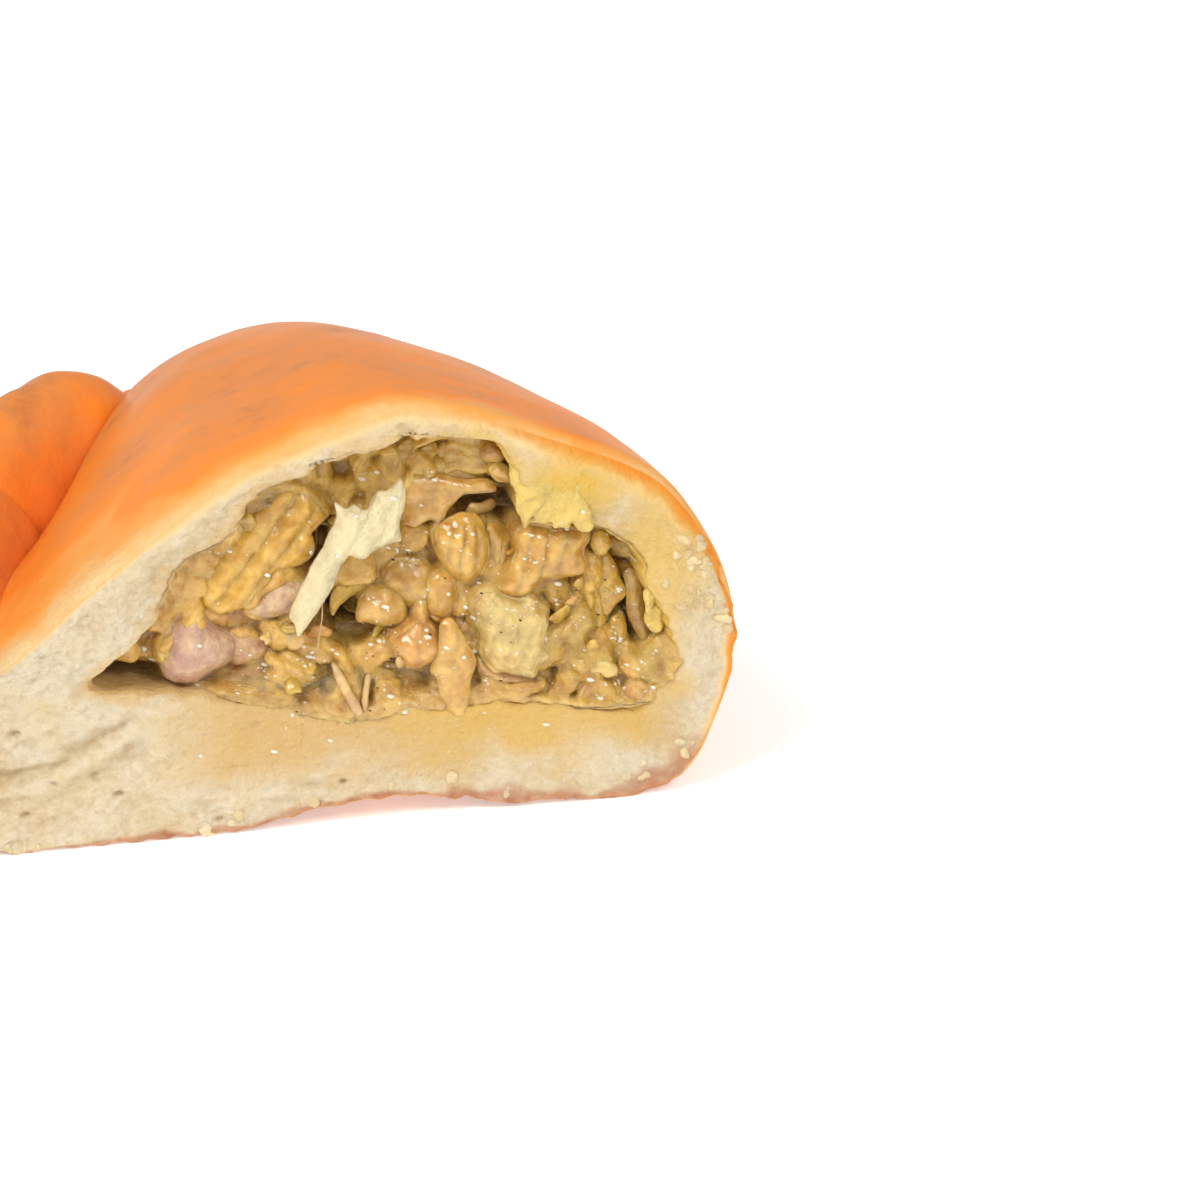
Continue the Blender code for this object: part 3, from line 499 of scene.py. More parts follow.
def crust(angle, slide):
    """The outer surface: section outlines that shrink along the body and morph to an ellipse.

    `slide` runs from 0 at the cut to a quarter turn at the tip.
    """
    y = LENGTH * np.sin(slide)
    to_tip = np.sin(slide) ** MORPH
    reach = radius_of(CUT_OUTLINE, FACE_CENTRE, angle) * (1 - to_tip)
    reach = (reach + ellipse_radius(angle, TIP_HALF) * to_tip) * np.cos(slide) ** NARROWING
    centre_x, centre_z = (
        FACE_CENTRE[i] + (TIP_CENTRE[i] - FACE_CENTRE[i]) * np.sin(slide) ** DRIFT[i] for i in (0, 1)
    )
    x = centre_x + reach * np.cos(angle)
    rise = reach * np.sin(angle)
    level = np.maximum(np.cos(slide), 0.01)
    fuller = level ** (BASE_NARROWING - NARROWING) * (1 + BASE_FULLNESS * np.sqrt(np.sin(slide)))
    z = centre_z + np.where(rise < 0, rise * fuller, rise)
    x = x + LEAN * np.maximum(z - LEAN_FROM, 0) / LEAN_RISE * y / LENGTH
    across = (x - ARCH_CENTRE) / ARCH_HALF_WIDTH
    arch = ARCH_HEIGHT * (1.1 * np.exp(-(across**2) - (y / ARCH_DEPTH) ** 2) - 0.1)
    return np.stack([x, y, np.maximum(z, np.maximum(arch, 0))], -1)


def pocket(angle, slide, inset=0.0):
    """The pocket's wall, as the crust's sections but with its own outline and depth."""
    y = (POCKET_DEPTH - inset) * np.sin(slide)
    deep = np.sin(slide) ** POCKET_MORPH
    reach = radius_of(POCKET_OUTLINE, POCKET_CENTRE, angle) * (1 - deep)
    reach = (reach + ellipse_radius(angle, POCKET_HALF) * deep) * np.cos(slide) ** POCKET_BLUNTNESS
    reach = np.maximum(reach - inset, 0)
    x = POCKET_CENTRE[0] + (POCKET_END[0] - POCKET_CENTRE[0]) * deep + reach * np.cos(angle)
    z = POCKET_CENTRE[1] + (POCKET_END[1] - POCKET_CENTRE[1]) * deep + reach * np.sin(angle)
    return np.stack([x, y, z], -1)


def front_of_filling(x, z):
    """Depth of the filling's front behind the cut: a slope, waves and the gaps' bell shapes."""
    depth = front_slope(z) + FRONT_RELIEF * (1 + waves(points_at(x, z), *FRONT_WAVES))
    for at_x, at_z, half_x, half_z, deep in GAPS:
        away = ((x - at_x) / (GAP_WIDER * half_x)) ** 2 + ((z - at_z) / (GAP_WIDER * half_z)) ** 2
        depth = depth + GAP_DEEPER * deep * np.exp(-away)
    return depth


def front_slope(z):
    """The slope of the filling's front, which leans back as it rises."""
    return FRONT_FLOOR + FRONT_SLOPE * (z - 12)


def even_angles(columns):
    """Angles round the cut outline that step along it in equal lengths."""
    fine = np.linspace(-math.pi, math.pi, 4001)
    reach = radius_of(CUT_OUTLINE, FACE_CENTRE, fine)
    steps = np.hypot(np.diff(reach * np.cos(fine)), np.diff(reach * np.sin(fine)))
    run = np.concatenate([[0], np.cumsum(steps)])
    return np.interp(np.arange(columns) / columns * run[-1], run, fine)


def frame_place():
    """Where the cut's own zero point lies in the frame, from the dough node's box."""
    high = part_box("dough")[1]
    widest = crust(np.linspace(-0.5, 0.5, 200), np.zeros(200))[:, 0].max()
    return np.array([high.x / MM - widest, high.y / MM - LENGTH, 0.0])


PLACE = frame_place()


# ---------------------------------------------------------------- meshes


class Form:
    """Points in millimetres, four- and three-sided faces, and named values at each point."""

    def __init__(self, points, quads, triangles=None, **values):
        self.points = np.asarray(points, float).reshape(-1, 3)
        self.quads = np.asarray(quads, int).reshape(-1, 4)
        self.triangles = np.zeros((0, 3), int) if triangles is None else np.asarray(triangles, int)
        self.values = {name: self.spread(value) for name, value in values.items()}

    def spread(self, value):
        """One value for the whole, or one for each point, as one for each point."""
        value = np.asarray(value, float)
        if len(value.shape) and value.shape[0] == len(self.points):
            return value
        return np.broadcast_to(value, (len(self.points), *value.shape)).copy()

    def facing_out(self):
        """Turns the faces round if they enclose a negative volume."""
        a, b, c, d = (self.points[self.quads[:, i]] for i in range(4))
        volume = np.einsum("ij,ij->i", a, np.cross(b, c) + np.cross(c, d)).sum()
        e, f, g = (self.points[self.triangles[:, i]] for i in range(3))
        volume += np.einsum("ij,ij->i", e, np.cross(f, g)).sum()
        if volume < 0:
            self.quads = self.quads[:, ::-1]
            self.triangles = self.triangles[:, ::-1]
        return self


def joined(forms):
    """One form that holds all the given ones."""
    starts = np.cumsum([0] + [len(form.points) for form in forms[:-1]])
    names = forms[0].values.keys()
    return Form(
        np.concatenate([form.points for form in forms]),
        np.concatenate([form.quads + start for form, start in zip(forms, starts)]),
        np.concatenate([form.triangles + start for form, start in zip(forms, starts)]),
        **{name: np.concatenate([form.values[name] for form in forms]) for name in names},
    )


def grid_faces(rows, columns, closed):
    """The four corners of each cell of a grid; a closed grid's last column joins its first."""
    row = np.arange(rows - 1)[:, None]
    column = np.arange(columns if closed else columns - 1)[None, :]
    after = (column + 1) % columns
    corners = [row * columns + column, (row + 1) * columns + column]
    corners += [(row + 1) * columns + after, row * columns + after]
    return np.stack(np.broadcast_arrays(*corners), -1).reshape(-1, 4)


def ball(rows, **values):
    """A closed skin over rings of points, whose first and last rings each become one point."""
    rings = rows[1:-1]
    count = rings.shape[1]
    points = np.concatenate([rows[:1].mean(axis=1), rings.reshape(-1, 3), rows[-1:].mean(axis=1)])
    here = np.arange(count)
    after = (here + 1) % count
    last = len(points) - 1
    top = last - count
    low = np.stack([np.zeros(count, int), 1 + here, 1 + after], -1)
    high = np.stack([top + after, top + here, np.full(count, last)], -1)
    kept = {}
    for name, value in values.items():
        value = np.asarray(value, float)
        if value.ndim >= 2 and value.shape[:2] == rows.shape[:2]:
            inner = value[1:-1].reshape(-1, *value.shape[2:])
            value = np.concatenate([value[:1].mean(axis=1), inner, value[-1:].mean(axis=1)])
        kept[name] = value
    quads = grid_faces(len(rings), count, True) + 1
    return Form(points, quads, np.concatenate([low, high]), **kept).facing_out()


def closed_cone(front, pole, **values):
    """A closed skin: a grid of points in front and a fan from its edges to one point behind."""
    rows, columns = front.shape[:2]
    number = np.arange(rows * columns).reshape(rows, columns)
    rim = np.concatenate([number[0, :-1], number[:-1, -1], number[-1, :0:-1], number[:0:-1, 0]])
    fan = np.stack([np.roll(rim, -1), rim, np.full(len(rim), rows * columns)], -1)
    points = np.concatenate([front.reshape(-1, 3), [pole]])
    kept = {}
    for name, value in values.items():
        flat = value.reshape(rows * columns, -1)
        kept[name] = np.concatenate([flat, flat.mean(axis=0, keepdims=True)])
    return Form(points, grid_faces(rows, columns, False), fan, **kept).facing_out()


def placed(name, data):
    """A new object in the scene."""
    thing = bpy.data.objects.new(name, data)
    bpy.context.scene.collection.objects.link(thing)
    return thing


def show(name, form, finish, nodes=()):
    """Adds the form as a piece at its place in the frame, with its finish, riding on the body."""
    mesh = bpy.data.meshes.new(name)
    points = (form.points + PLACE) * MM
    mesh.vertices.add(len(points))
    mesh.vertices.foreach_set("co", points.astype(np.float32).ravel())
    corners = np.concatenate([form.quads.ravel(), form.triangles.ravel()])
    counts = np.array([4] * len(form.quads) + [3] * len(form.triangles))
    mesh.loops.add(len(corners))
    mesh.loops.foreach_set("vertex_index", corners.astype(np.int32))
    mesh.polygons.add(len(counts))
    mesh.polygons.foreach_set("loop_start", (np.cumsum(counts) - counts).astype(np.int32))
    mesh.polygons.foreach_set("loop_total", counts.astype(np.int32))
    mesh.update(calc_edges=True)
    for label, value in form.values.items():
        if value.ndim == 1:
            layer = mesh.attributes.new(label, "FLOAT", "POINT")
            layer.data.foreach_set("value", value.astype(np.float32))
        else:
            layer = mesh.attributes.new(label, "FLOAT_COLOR", "POINT")
            opaque = np.concatenate([value, np.ones((len(value), 1))], axis=1)
            layer.data.foreach_set("color", opaque.astype(np.float32).ravel())
    if mesh.validate():
        raise RuntimeError(f"{name} has faulty faces")
    mesh.shade_smooth()
    mesh.materials.append(finish)
    piece = placed(name, mesh)
    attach(piece, "root")
    if nodes:
        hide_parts(*nodes)


# ---------------------------------------------------------------- settings


class EmpanadaShape(bpy.types.PropertyGroup):
    """Sizes that change how fine and how rough the surfaces are."""

    columns: bpy.props.IntProperty(
        name="Columns", description="Points round the pastry", default=540, min=64, max=1200
    )
    face_rows: bpy.props.IntProperty(
        name="Rows on the cut", description="Rows of points from the pocket to the crust",
        default=84, min=8, max=120,
    )
    crust_rows: bpy.props.IntProperty(
        name="Rows on the crust", description="Rows of points from the cut to the closed tip",
        default=84, min=8, max=120,
    )
    crumb_relief: bpy.props.FloatProperty(
        name="Crumb relief", description="Height of the torn crumb on the cut",
        default=0.5 * MM, unit="LENGTH",
    )
    crust_relief: bpy.props.FloatProperty(
        name="Crust relief", description="Height of the slow waves of the crust",
        default=0.35 * MM, unit="LENGTH",
    )
    rim_radius: bpy.props.FloatProperty(
        name="Rim radius", description="Rounding where the knife pressed the crust",
        default=3.0 * MM, unit="LENGTH",
    )
    lumps: bpy.props.IntProperty(
        name="Lumps", description="Small lumps on the filling's front", default=260, min=0, max=900
    )
    beads: bpy.props.IntProperty(
        name="Beads", description="Drops of juice and oil on the filling", default=240, min=0, max=900
    )


def colour_property(name, description, code):
    """A colour that the user can change, with an sRGB hex value as its default."""
    return bpy.props.FloatVectorProperty(
        name=name, description=description, subtype="COLOR", size=3, min=0, max=1,
        default=tuple(linear(code)),
    )


class EmpanadaColours(bpy.types.PropertyGroup):
    """Colours of the pastry and the filling."""

    crumb: colour_property("Crumb", "Inner dough on the cut", "#E4D8C2")
    pale_crust: colour_property("Pale crust", "Crust that the oven hardly reached", "#F6D297")
    peach_crust: colour_property("Peach crust", "Lightly baked crust", "#EFA552")
    golden_crust: colour_property("Golden crust", "Egg-washed crust", "#F68B2A")
    deep_crust: colour_property("Deep crust", "Well baked crust", "#E28841")
    brown_crust: colour_property("Brown crust", "Darkest spots of the crust", "#B96C3A")
    base_crust: colour_property("Base crust", "Unwashed crust below", "#CB8E6E")
    sauce: colour_property("Sauce", "Juice that soaks the dough", "#E2B854")
    deep_sauce: colour_property("Deep sauce", "Thick juice between the pieces", "#A0661A")
    onion: colour_property("Onion", "Soft cooked onion", "#C8922A")
    leek: colour_property("Green onion", "Yellow-green cooked onion", "#B9911F")
    chicken: colour_property("Chicken", "Shredded chicken", "#D09846")
    meat: colour_property("Sauced chicken", "Chicken that took the sauce's colour", "#CE9133")


class EmpanadaStage(bpy.types.PropertyGroup):
    """Camera and lights."""

    azimuth: bpy.props.FloatProperty(
        name="Azimuth", description="How far the camera stands to the side of the cut",
        default=math.radians(-11.7), subtype="ANGLE",
    )
    elevation: bpy.props.FloatProperty(
        name="Elevation", description="How far the camera looks down",
        default=math.radians(24), subtype="ANGLE",
    )
    distance: bpy.props.FloatProperty(
        name="Distance", description="From the camera to its target", default=0.4, unit="LENGTH"
    )
    lens: bpy.props.FloatProperty(name="Lens", description="Focal length in mm", default=117.6)
    key: bpy.props.FloatProperty(name="Key light", description="Power of the main light", default=2.5)
    ambient: bpy.props.FloatProperty(name="Ambient", description="Strength of the studio", default=0.54)


# ---------------------------------------------------------------- finishes


# Settings of Math nodes whose result stays between 0 and 1, and of a Mix node for colours
PLUS, MINUS, TIMES, MOST = (
    {"operation": name, "use_clamp": True} for name in ("ADD", "SUBTRACT", "MULTIPLY", "MAXIMUM")
)
COLOURS = {"data_type": "RGBA"}

# The crust's colours, from the crumb inside it to its darkest spots, and how baked each one is
BAKING = (
    (0.0, "crumb"), (0.18, "pale_crust"), (0.36, "peach_crust"), (0.58, "golden_crust"),
    (0.80, "deep_crust"), (1.0, "brown_crust"),
)
# hollow is how deep the crumb's relief lies; the finish darkens the crumb there as painted shade
DOUGH_VALUES = ("bake", "hollow", "under", "sauce", "soak_mask", "tone", "gloss")

# Colours that stay as they are: the drops' cream white, which paints glints, and pepper, and second colours
# that noise brings in patches; the crumb's grain colour also paints shade in its dents
DROP_GLINT_WHITE = "#FBF0D6"
PEPPER = "#3A2A18"
CRUMB_SHADE = "#E0C690"
CRUMB_GRAIN_AND_DENT_SHADE = "#C8AB7C"
BASE_SPOTS = "#A66A48"
JUICE_STAIN = "#D9B374"
FOOD_SHADE = "#8A5210"
FOOD_LIGHT = "#F2D87C"
TORN_SHADE = "#C8A24C"

# Wet food: how see-through, roughness, width and height of its grain in mm, and how far red,
# green and blue light spread in it in mm
WET_FOOD = {
    "cooked_onion": (0.7, 0.2, 1.1, 0.16, (1.3, 1.15, 0.8)),
    "cooked_chicken": (0.45, 0.28, 0.7, 0.28, (1.0, 0.85, 0.65)),
    "juicy_filling": (0.5, 0.2, 0.7, 0.3, (1.1, 0.95, 0.65)),
}


def feed(tree, socket, source):
    """Gives an input a value or a colour, or links another node's output to it."""
    if isinstance(source, bpy.types.NodeSocket):
        tree.links.new(source, socket)
    else:
        socket.default_value = (*source, 1) if socket.type == "RGBA" else source


def add_node(tree, kind, *sources, out=None, **settings):
    """Adds a node and gives back its first output that shows, or the one named `out`.

    Sources go to the inputs that show, in order. A setting is one of the node's properties or,
    with a capital letter, an input by its name, with an underscore for a space.
    """
    node = tree.nodes.new("ShaderNode" + kind)
    named = {name: settings.pop(name) for name in list(settings) if name[0].isupper()}
    for name, value in settings.items():
        setattr(node, name, value)
    for socket, source in zip([each for each in node.inputs if each.enabled], sources):
        feed(tree, socket, source)
    for name, source in named.items():
        feed(tree, node.inputs[name.replace("_", " ")], source)
    return node.outputs[out] if out else next(each for each in node.outputs if each.enabled)


def new_finish(name):
    """An empty material, and add_node for its nodes."""
    finish = bpy.data.materials.new(name)
    finish.use_nodes = True
    return finish, partial(add_node, finish.node_tree)


def set_shader(finish, **inputs):
    """Feeds the Principled shader's inputs; an underscore in a name stands for a space."""
    tree = finish.node_tree
    for name, source in inputs.items():
        feed(tree, tree.nodes["Principled BSDF"].inputs[name.replace("_", " ")], source)


def patches(add, where, size, detail, strength):
    """Noise about `size` mm long on the object, from -strength / 2 to strength / 2."""
    noise = add("TexNoise", Vector=where, Scale=1 / (size * MM), Detail=detail, Roughness=0.6)
    centred = add("Math", noise, 0.5, operation="SUBTRACT")
    return add("Math", centred, strength, operation="MULTIPLY")


def baked_dough():
    """Enriched yeast dough, egg-washed and baked.

    The washed crust is smooth, glossy and mottled orange. The crumb is matt, cream and porous.
    Where juice soaks in, the crumb turns yellow and wet.
    """
    colours = bpy.context.scene.empanada_colours
    finish, add = new_finish("baked_enriched_dough")
    pattern = partial(patches, add, add("TexCoord", out="Object"))
    own = {name: add("Attribute", out="Fac", attribute_name=name) for name in DOUGH_VALUES}
    mottle = add("Math", 0.5, pattern(2.4, 6.0, 1.0), **PLUS)
    bake = add("Math", own["bake"], add("MapRange", mottle, To_Min=0.76, To_Max=1.24), **TIMES)
    colour = add("ValToRGB", bake)
    stops = colour.node.color_ramp.elements
    for place, _ in BAKING[1:-1]:
        stops.new(place)
    for stop, (_, name) in zip(stops, BAKING):
        stop.color = (*getattr(colours, name), 1)
    # the crumb's patches, and its grain with painted shade in its dents, which fade out where it turns into
    # crust
    crumb = add("Math", 1.0, add("Math", bake, 5.0, **TIMES), **MINUS)
    crumb = add("Math", crumb, 0.8, **TIMES)
    wide = add("Math", 0.45, pattern(5.0, 5.0, 2.0), **PLUS)
    grain = add("Math", pattern(0.8, 6.0, 2.0), own["hollow"], **PLUS)
    for share, shade in ((wide, CRUMB_SHADE), (grain, CRUMB_GRAIN_AND_DENT_SHADE)):
        colour = add("Mix", add("Math", share, crumb, **TIMES), colour, linear(shade), **COLOURS)
    spotted = add("Math", 0.3, pattern(2.2, 5.0, 2.4), **PLUS)
    below = add("Mix", spotted, colours.base_crust, linear(BASE_SPOTS), **COLOURS)
    colour = add("Mix", own["under"], colour, below, **COLOURS)
    wet = add("Math", own["sauce"], pattern(1.6, 4.0, 0.35), **PLUS)
    wet = add("Math", wet, own["soak_mask"], **TIMES)
    juice = add("Mix", own["tone"], linear(JUICE_STAIN), colours.sauce, **COLOURS)
    colour = add("Mix", wet, colour, juice, **COLOURS)
    gloss = add("Math", own["gloss"], wet, **MOST)
    film = add("Math", add("Math", own["gloss"], 0.36, **TIMES), wet, **MOST)
    pores, skin = pattern(0.7, 6.0, 1.0), pattern(0.9, 4.0, 0.16)
    relief = add("Bump", Height=add("Mix", own["gloss"], pores, skin), Distance=0.7 * MM)
    set_shader(
        finish, Base_Color=colour, Normal=relief, Coat_Normal=relief,
        Roughness=add("MapRange", gloss, To_Min=0.85, To_Max=0.5),
        Coat_Weight=add("MapRange", film, To_Min=0.0, To_Max=0.5),
        Coat_Roughness=0.14, Coat_IOR=1.4, IOR=1.4, Specular_IOR_Level=0.15,
        Subsurface_Weight=0.25, Subsurface_Radius=(1.2, 1.0, 0.7), Subsurface_Scale=MM,
    )


def wet_food(name, see_through, roughness, grain, depth, radius):
    """Soft cooked food under a film of oily juice, in each piece's own tint.

    Light sinks in and comes out softened. The film gives small sharp glints on a fine relief.
    """
    finish, add = new_finish(name)
    pattern = partial(patches, add, add("TexCoord", out="Object"))
    tint = add("Attribute", out="Color", attribute_name="tint")
    darker = add("Mix", 0.45, tint, linear(FOOD_SHADE), **COLOURS)
    paler = add("Mix", 0.42, tint, linear(FOOD_LIGHT), **COLOURS)
    mottle = add("Math", pattern(1.8, 5.0, 2.4), 0.45, **PLUS)
    relief = add("Bump", Height=pattern(grain, 4.0, 1.0), Distance=depth * MM)
    set_shader(
        finish, Base_Color=add("Mix", mottle, darker, paler, **COLOURS), Roughness=roughness,
        Normal=relief, Coat_Normal=relief, Coat_Weight=1.0, Coat_Roughness=0.05, Coat_IOR=1.6,
        IOR=1.38, Specular_IOR_Level=0.2, Subsurface_Weight=see_through,
        Subsurface_Radius=radius, Subsurface_Scale=MM,
    )


def torn_dough():
    """Torn inner dough: matt, porous and a little wet, in each piece's own tint."""
    finish, add = new_finish("torn_wet_dough")
    pattern = partial(patches, add, add("TexCoord", out="Object"))
    tint = add("Attribute", out="Color", attribute_name="tint")
    mottle = add("Math", pattern(1.2, 6.0, 2.0), 0.5, **PLUS)
    darker = add("Mix", 0.22, tint, linear(TORN_SHADE), **COLOURS)
    set_shader(
        finish, Base_Color=add("Mix", mottle, darker, tint, **COLOURS), Roughness=0.55,
        Normal=add("Bump", Height=pattern(0.5, 4.0, 1.0), Distance=0.5 * MM),
        Coat_Weight=0.25, Coat_Roughness=0.2, Subsurface_Weight=0.3,
        Subsurface_Radius=(1.0, 0.9, 0.65), Subsurface_Scale=MM,
    )


def glint_white_drop():
    """Drops of oil and juice: smooth and a little see-through, and their cream white is a painted highlight
    that stands for glints.
    """
    set_shader(
        new_finish("oily_juice_drops")[0], Base_Color=linear(DROP_GLINT_WHITE), Roughness=0.1,
        Transmission_Weight=0.25, IOR=1.5, Coat_Weight=1.0, Coat_Roughness=0.14, Coat_IOR=1.9,
    )


def black_pepper():
    """Ground black pepper: tiny matt specks, nearly black."""
    set_shader(new_finish("ground_black_pepper")[0], Base_Color=linear(PEPPER), Roughness=0.8)


MAKERS = {
    "baked_enriched_dough": baked_dough, "torn_wet_dough": torn_dough,
    "oily_juice_drops": glint_white_drop, "ground_black_pepper": black_pepper,
    **{name: partial(wet_food, name, *values) for name, values in WET_FOOD.items()},
}


def finish_named(name):
    """The finish of that name, made on its first use."""
    if name not in bpy.data.materials:
        MAKERS[name]()
    return bpy.data.materials[name]


# ---------------------------------------------------------------- pastry


# Depths of the rings of points on the pocket's wall, as shares of its depth
WALL_RINGS = (1, 0.8, 0.5, 0.3, 0.19, 0.13, 0.09, 0.06, 0.042, 0.03, 0.02, 0.012, 0.006, 0)
FAR = 99.0  # stands for a distance that doesn't matter


def rounded_rim(along, radius):
    """Inset and depth on a quarter round: `along` runs from -radius on the cut to radius behind."""
    turn = (along + radius) / (2 * radius) * math.pi / 2
    return radius * (1 - np.sin(turn)), radius * (1 - np.cos(turn))


def bent_in(wall, way, radius):
    """A wall that starts at the cut, rounded along `way` over the first `radius` of its depth."""
    deep = wall[..., 1]
    inset, back = rounded_rim(np.minimum(deep, radius), radius)
    near = deep < radius
    wall = wall + way * np.where(near, inset, 0)[..., None]
    wall[..., 1] = np.where(near, back, deep)
    return wall


def crumb_relief(points, height):
    """Torn crumb: pulled layers, soft mounds, small grains and pores, as depth behind the cut.

    The layers are creases of noise stretched along x, which rise a little to the right on the left
    side as they do where the rope's dough was folded over.
    """
    x, y, z = np.moveaxis(points, -1, 0)
    tilt = np.where(x < -8, -0.28 * (x + 8), 0)
    layers = np.stack([x * 0.28, y, z + tilt], -1)
    pulled = 1 - np.abs(noise(layers, "pulled crumb"))
    mounds = noise(points, "crumb mounds")
    grains = noise(points, "crumb grains")
    near, number = nearest_cells(points * np.array([0.6, 1, 1]), *PORES)
    pores = smooth_step(0.34, 0.08, near) * (number > PORELESS)
    return height * (0.45 * mounds + 0.25 * grains + 1.2 * pores - 0.6 * pulled + 0.4)


def seam_height(x, z):
    """Where two layers of dough met: a ridge above its path with a hollow below it."""
    path = np.interp(x, *np.transpose(SEAM))
    ends = smooth_step(SEAM[0][0] - 12, SEAM[0][0], x) * smooth_step(SEAM[-1][0] + 3, SEAM[-1][0], x)
    away = z - path + 0.4 * noise(points_at(x, z), "seam")
    return ends * (0.8 * np.exp(-((away / 0.8) ** 2)) - 0.6 * np.exp(-(((away - 1.6) / 0.9) ** 2)))


def soaked(x, z, rim):
    """How much juice the cut's dough took up, from 0 to 1.

    It is the most of a band below the pocket, a rim round it, a patch above right, a strip on the
    right and a pool under the pocket's lower edge. Noise makes each one's border uneven.
    """
    here = points_at(x, z)
    band = smooth_step(11.5, 3.0, 14.0 - z + 2.2 * noise(here, "soaked band")) * (z < 22)
    band = band * smooth_step(-21, -9, x) * smooth_step(38, 31, x)
    roof = smooth_step(3.2, 0.2, rim + 1.1 * noise(here, "soaked roof"))
    patch = np.hypot((x - 24.5) * 0.8, z - 35.5) + noise(here, "soaked patch")
    patch = smooth_step(7.5, 1.5, patch)
    right = smooth_step(9, 2, np.abs(x - 34) + 0.4 * np.abs(z - 27)) * 0.7
    pool = np.hypot((x - 15) / 9, (z - 12.4) / 2) + 0.2 * noise(here, "pool")
    film = smooth_step(1.25, 0.7, pool)
    return np.clip(np.maximum.reduce([band * 0.95, roof * 0.65, patch, right, film]), 0, 1)


def pastry():
    """The pastry's skin and its values: pocket wall, cut face, rounded rim and outer crust."""
    shape = bpy.context.scene.empanada_shape
    angle = even_angles(shape.columns)
    depths = np.array(WALL_RINGS)
    wall = pocket(*np.meshgrid(angle, np.arcsin(depths)))
    slide = np.linspace(0, 1, shape.crust_rows) ** 1.8 * math.pi / 2
    shell = crust(*np.meshgrid(angle, slide))
    share = (np.arange(1, shape.face_rows) / shape.face_rows)[:, None]
    face = wall[-1] + (shell[0] - wall[-1]) * share[..., None]
    inward = wall[-1] - shell[0]
    width = np.linalg.norm(inward, axis=-1)
    inward = inward / width[:, None]
    to_edge = width * (1 - share)
    from_rim = width * share
    # the pocket's rim rolls inwards, most of all below, and it is torn
    rim = wall[-1]
    ragged = 0.5 * noise(rim, "pocket rim") + 0.3 * noise(rim, "fine pocket rim")
    roll = 1.0 + 0.5 * smooth_step(19, 14, rim[:, 2])
    inset, sunk = rounded_rim(-np.minimum(from_rim, roll), roll)
    rolled = from_rim < roll
    face = np.where(rolled[..., None], rim - inward * inset[..., None], face)
    face = face + inward * (ragged * smooth_step(3.5, 0, from_rim))[..., None]
    sunk = np.where(rolled, sunk, 0)
    deep = wall[..., 1]
    wall = bent_in(wall, -inward, roll)
    wall = wall + inward * (ragged * smooth_step(6, 0, deep))[..., None]
    # the outer rim is rounder on the dome than on the fold and the base
    radius = 0.6 + (shape.rim_radius / MM - 0.6) * rim_share(shell[0])
    inset, back = rounded_rim(-np.minimum(to_edge, radius), radius)
    rounded = to_edge < radius
    face = np.where(rounded[..., None], shell[0] + inward * inset[..., None], face)
    face[..., 1] = np.where(rounded, back, sunk)
    shell = bent_in(shell, inward, radius)
    # relief of the crumb, calmer where it is wet, and of the crust
    flat_face = face[..., 1].copy()
    soak = soaked(face[..., 0], face[..., 2], from_rim)
    calm = (smooth_step(0, 2.5, to_edge) * 0.8 + 0.2) * (1 - 0.65 * soak)
    calm = calm * (1 - 0.45 * smooth_step(-2, 10, face[..., 0]) * smooth_step(15, 10, face[..., 2]))
    face[..., 1] += crumb_relief(face, shape.crumb_relief / MM) * calm
    face[..., 1] -= seam_height(face[..., 0], face[..., 2]) * calm
    face[..., 1] += 0.5 * noise(face, "cut swell") * smooth_step(1, 5, to_edge)
    # painted shade: the deeper the crumb's relief lies, the darker its colour is made
    dent_shade = np.clip(0.3 + 0.5 * (face[..., 1] - flat_face) / 0.7, 0, 1)
    fray, fringe = frayed(face, to_edge)
    face[..., 1] -= fringe
    wall[..., 1] += crumb_relief(wall, 0.3) * smooth_step(0.3, 0, depths)[:, None]
    slow = noise(shell, "crust waves") + 0.12 * noise(shell, "fine crust waves")
    outward = shell - np.array([FACE_CENTRE[0], 0, FACE_CENTRE[1]])
    outward = unit(outward * [1, 0.3, 1])
    fade = smooth_step(0.5, 6, shell[..., 1]) * smooth_step(0.3, 3, shell[..., 2])
    shell = shell + outward * (slow * shape.crust_relief / MM * fade)[..., None]
    # the bottom edge is torn into flakes
    tear = 0.35 * noise(shell[:1], "torn base") * smooth_step(6, 2, shell[:1, :, 2])
    # and the fold's outline is torn into tufts
    fold = smooth_step(33, 37, shell[:1, :, 0]) * smooth_step(12, 17, shell[:1, :, 2])
    fold = fold * smooth_step(35, 30, shell[:1, :, 2])
    tufts = fold * (0.1 + 0.55 * noise(shell[:1], "tufts"))
    for part, away in ((face, to_edge), (shell, shell[..., 1])):
        part[..., 2] += np.maximum(tear * smooth_step(1.6, 0.2, away), -part[..., 2])
        part[..., 0] += tufts * smooth_step(1.4, 0.2, away)
    dent_shade = dent_shade * (1 - fray)
    hollow = np.concatenate([np.full(wall.shape[:2], 0.5), dent_shade, np.full(shell.shape[:2], 0.3)])
    points = np.concatenate([wall, face, shell])
    edge = np.concatenate([np.full(wall.shape[:2], FAR), to_edge, np.zeros(shell.shape[:2])])
    mouth = np.concatenate([np.zeros(wall.shape[:2]), from_rim, np.full(shell.shape[:2], FAR)])
    values = dough_values(points, edge, mouth, len(wall), len(wall) + len(face))
    return ball(points, hollow=hollow, **values)


def frayed(points, to_edge):
    """Where the fold's rim is torn and frayed, from 0 to 1, and the height of its soft tufts."""
    x, _, z = np.moveaxis(points, -1, 0)
    zone = smooth_step(33, 36.5, x) * smooth_step(15, 20, z) * smooth_step(34, 31, z)
    zone = zone * smooth_step(6.5, 4, to_edge) * smooth_step(0, 0.8, to_edge)
    return zone, zone * 0.42 * noise(points, "frayed crumb")


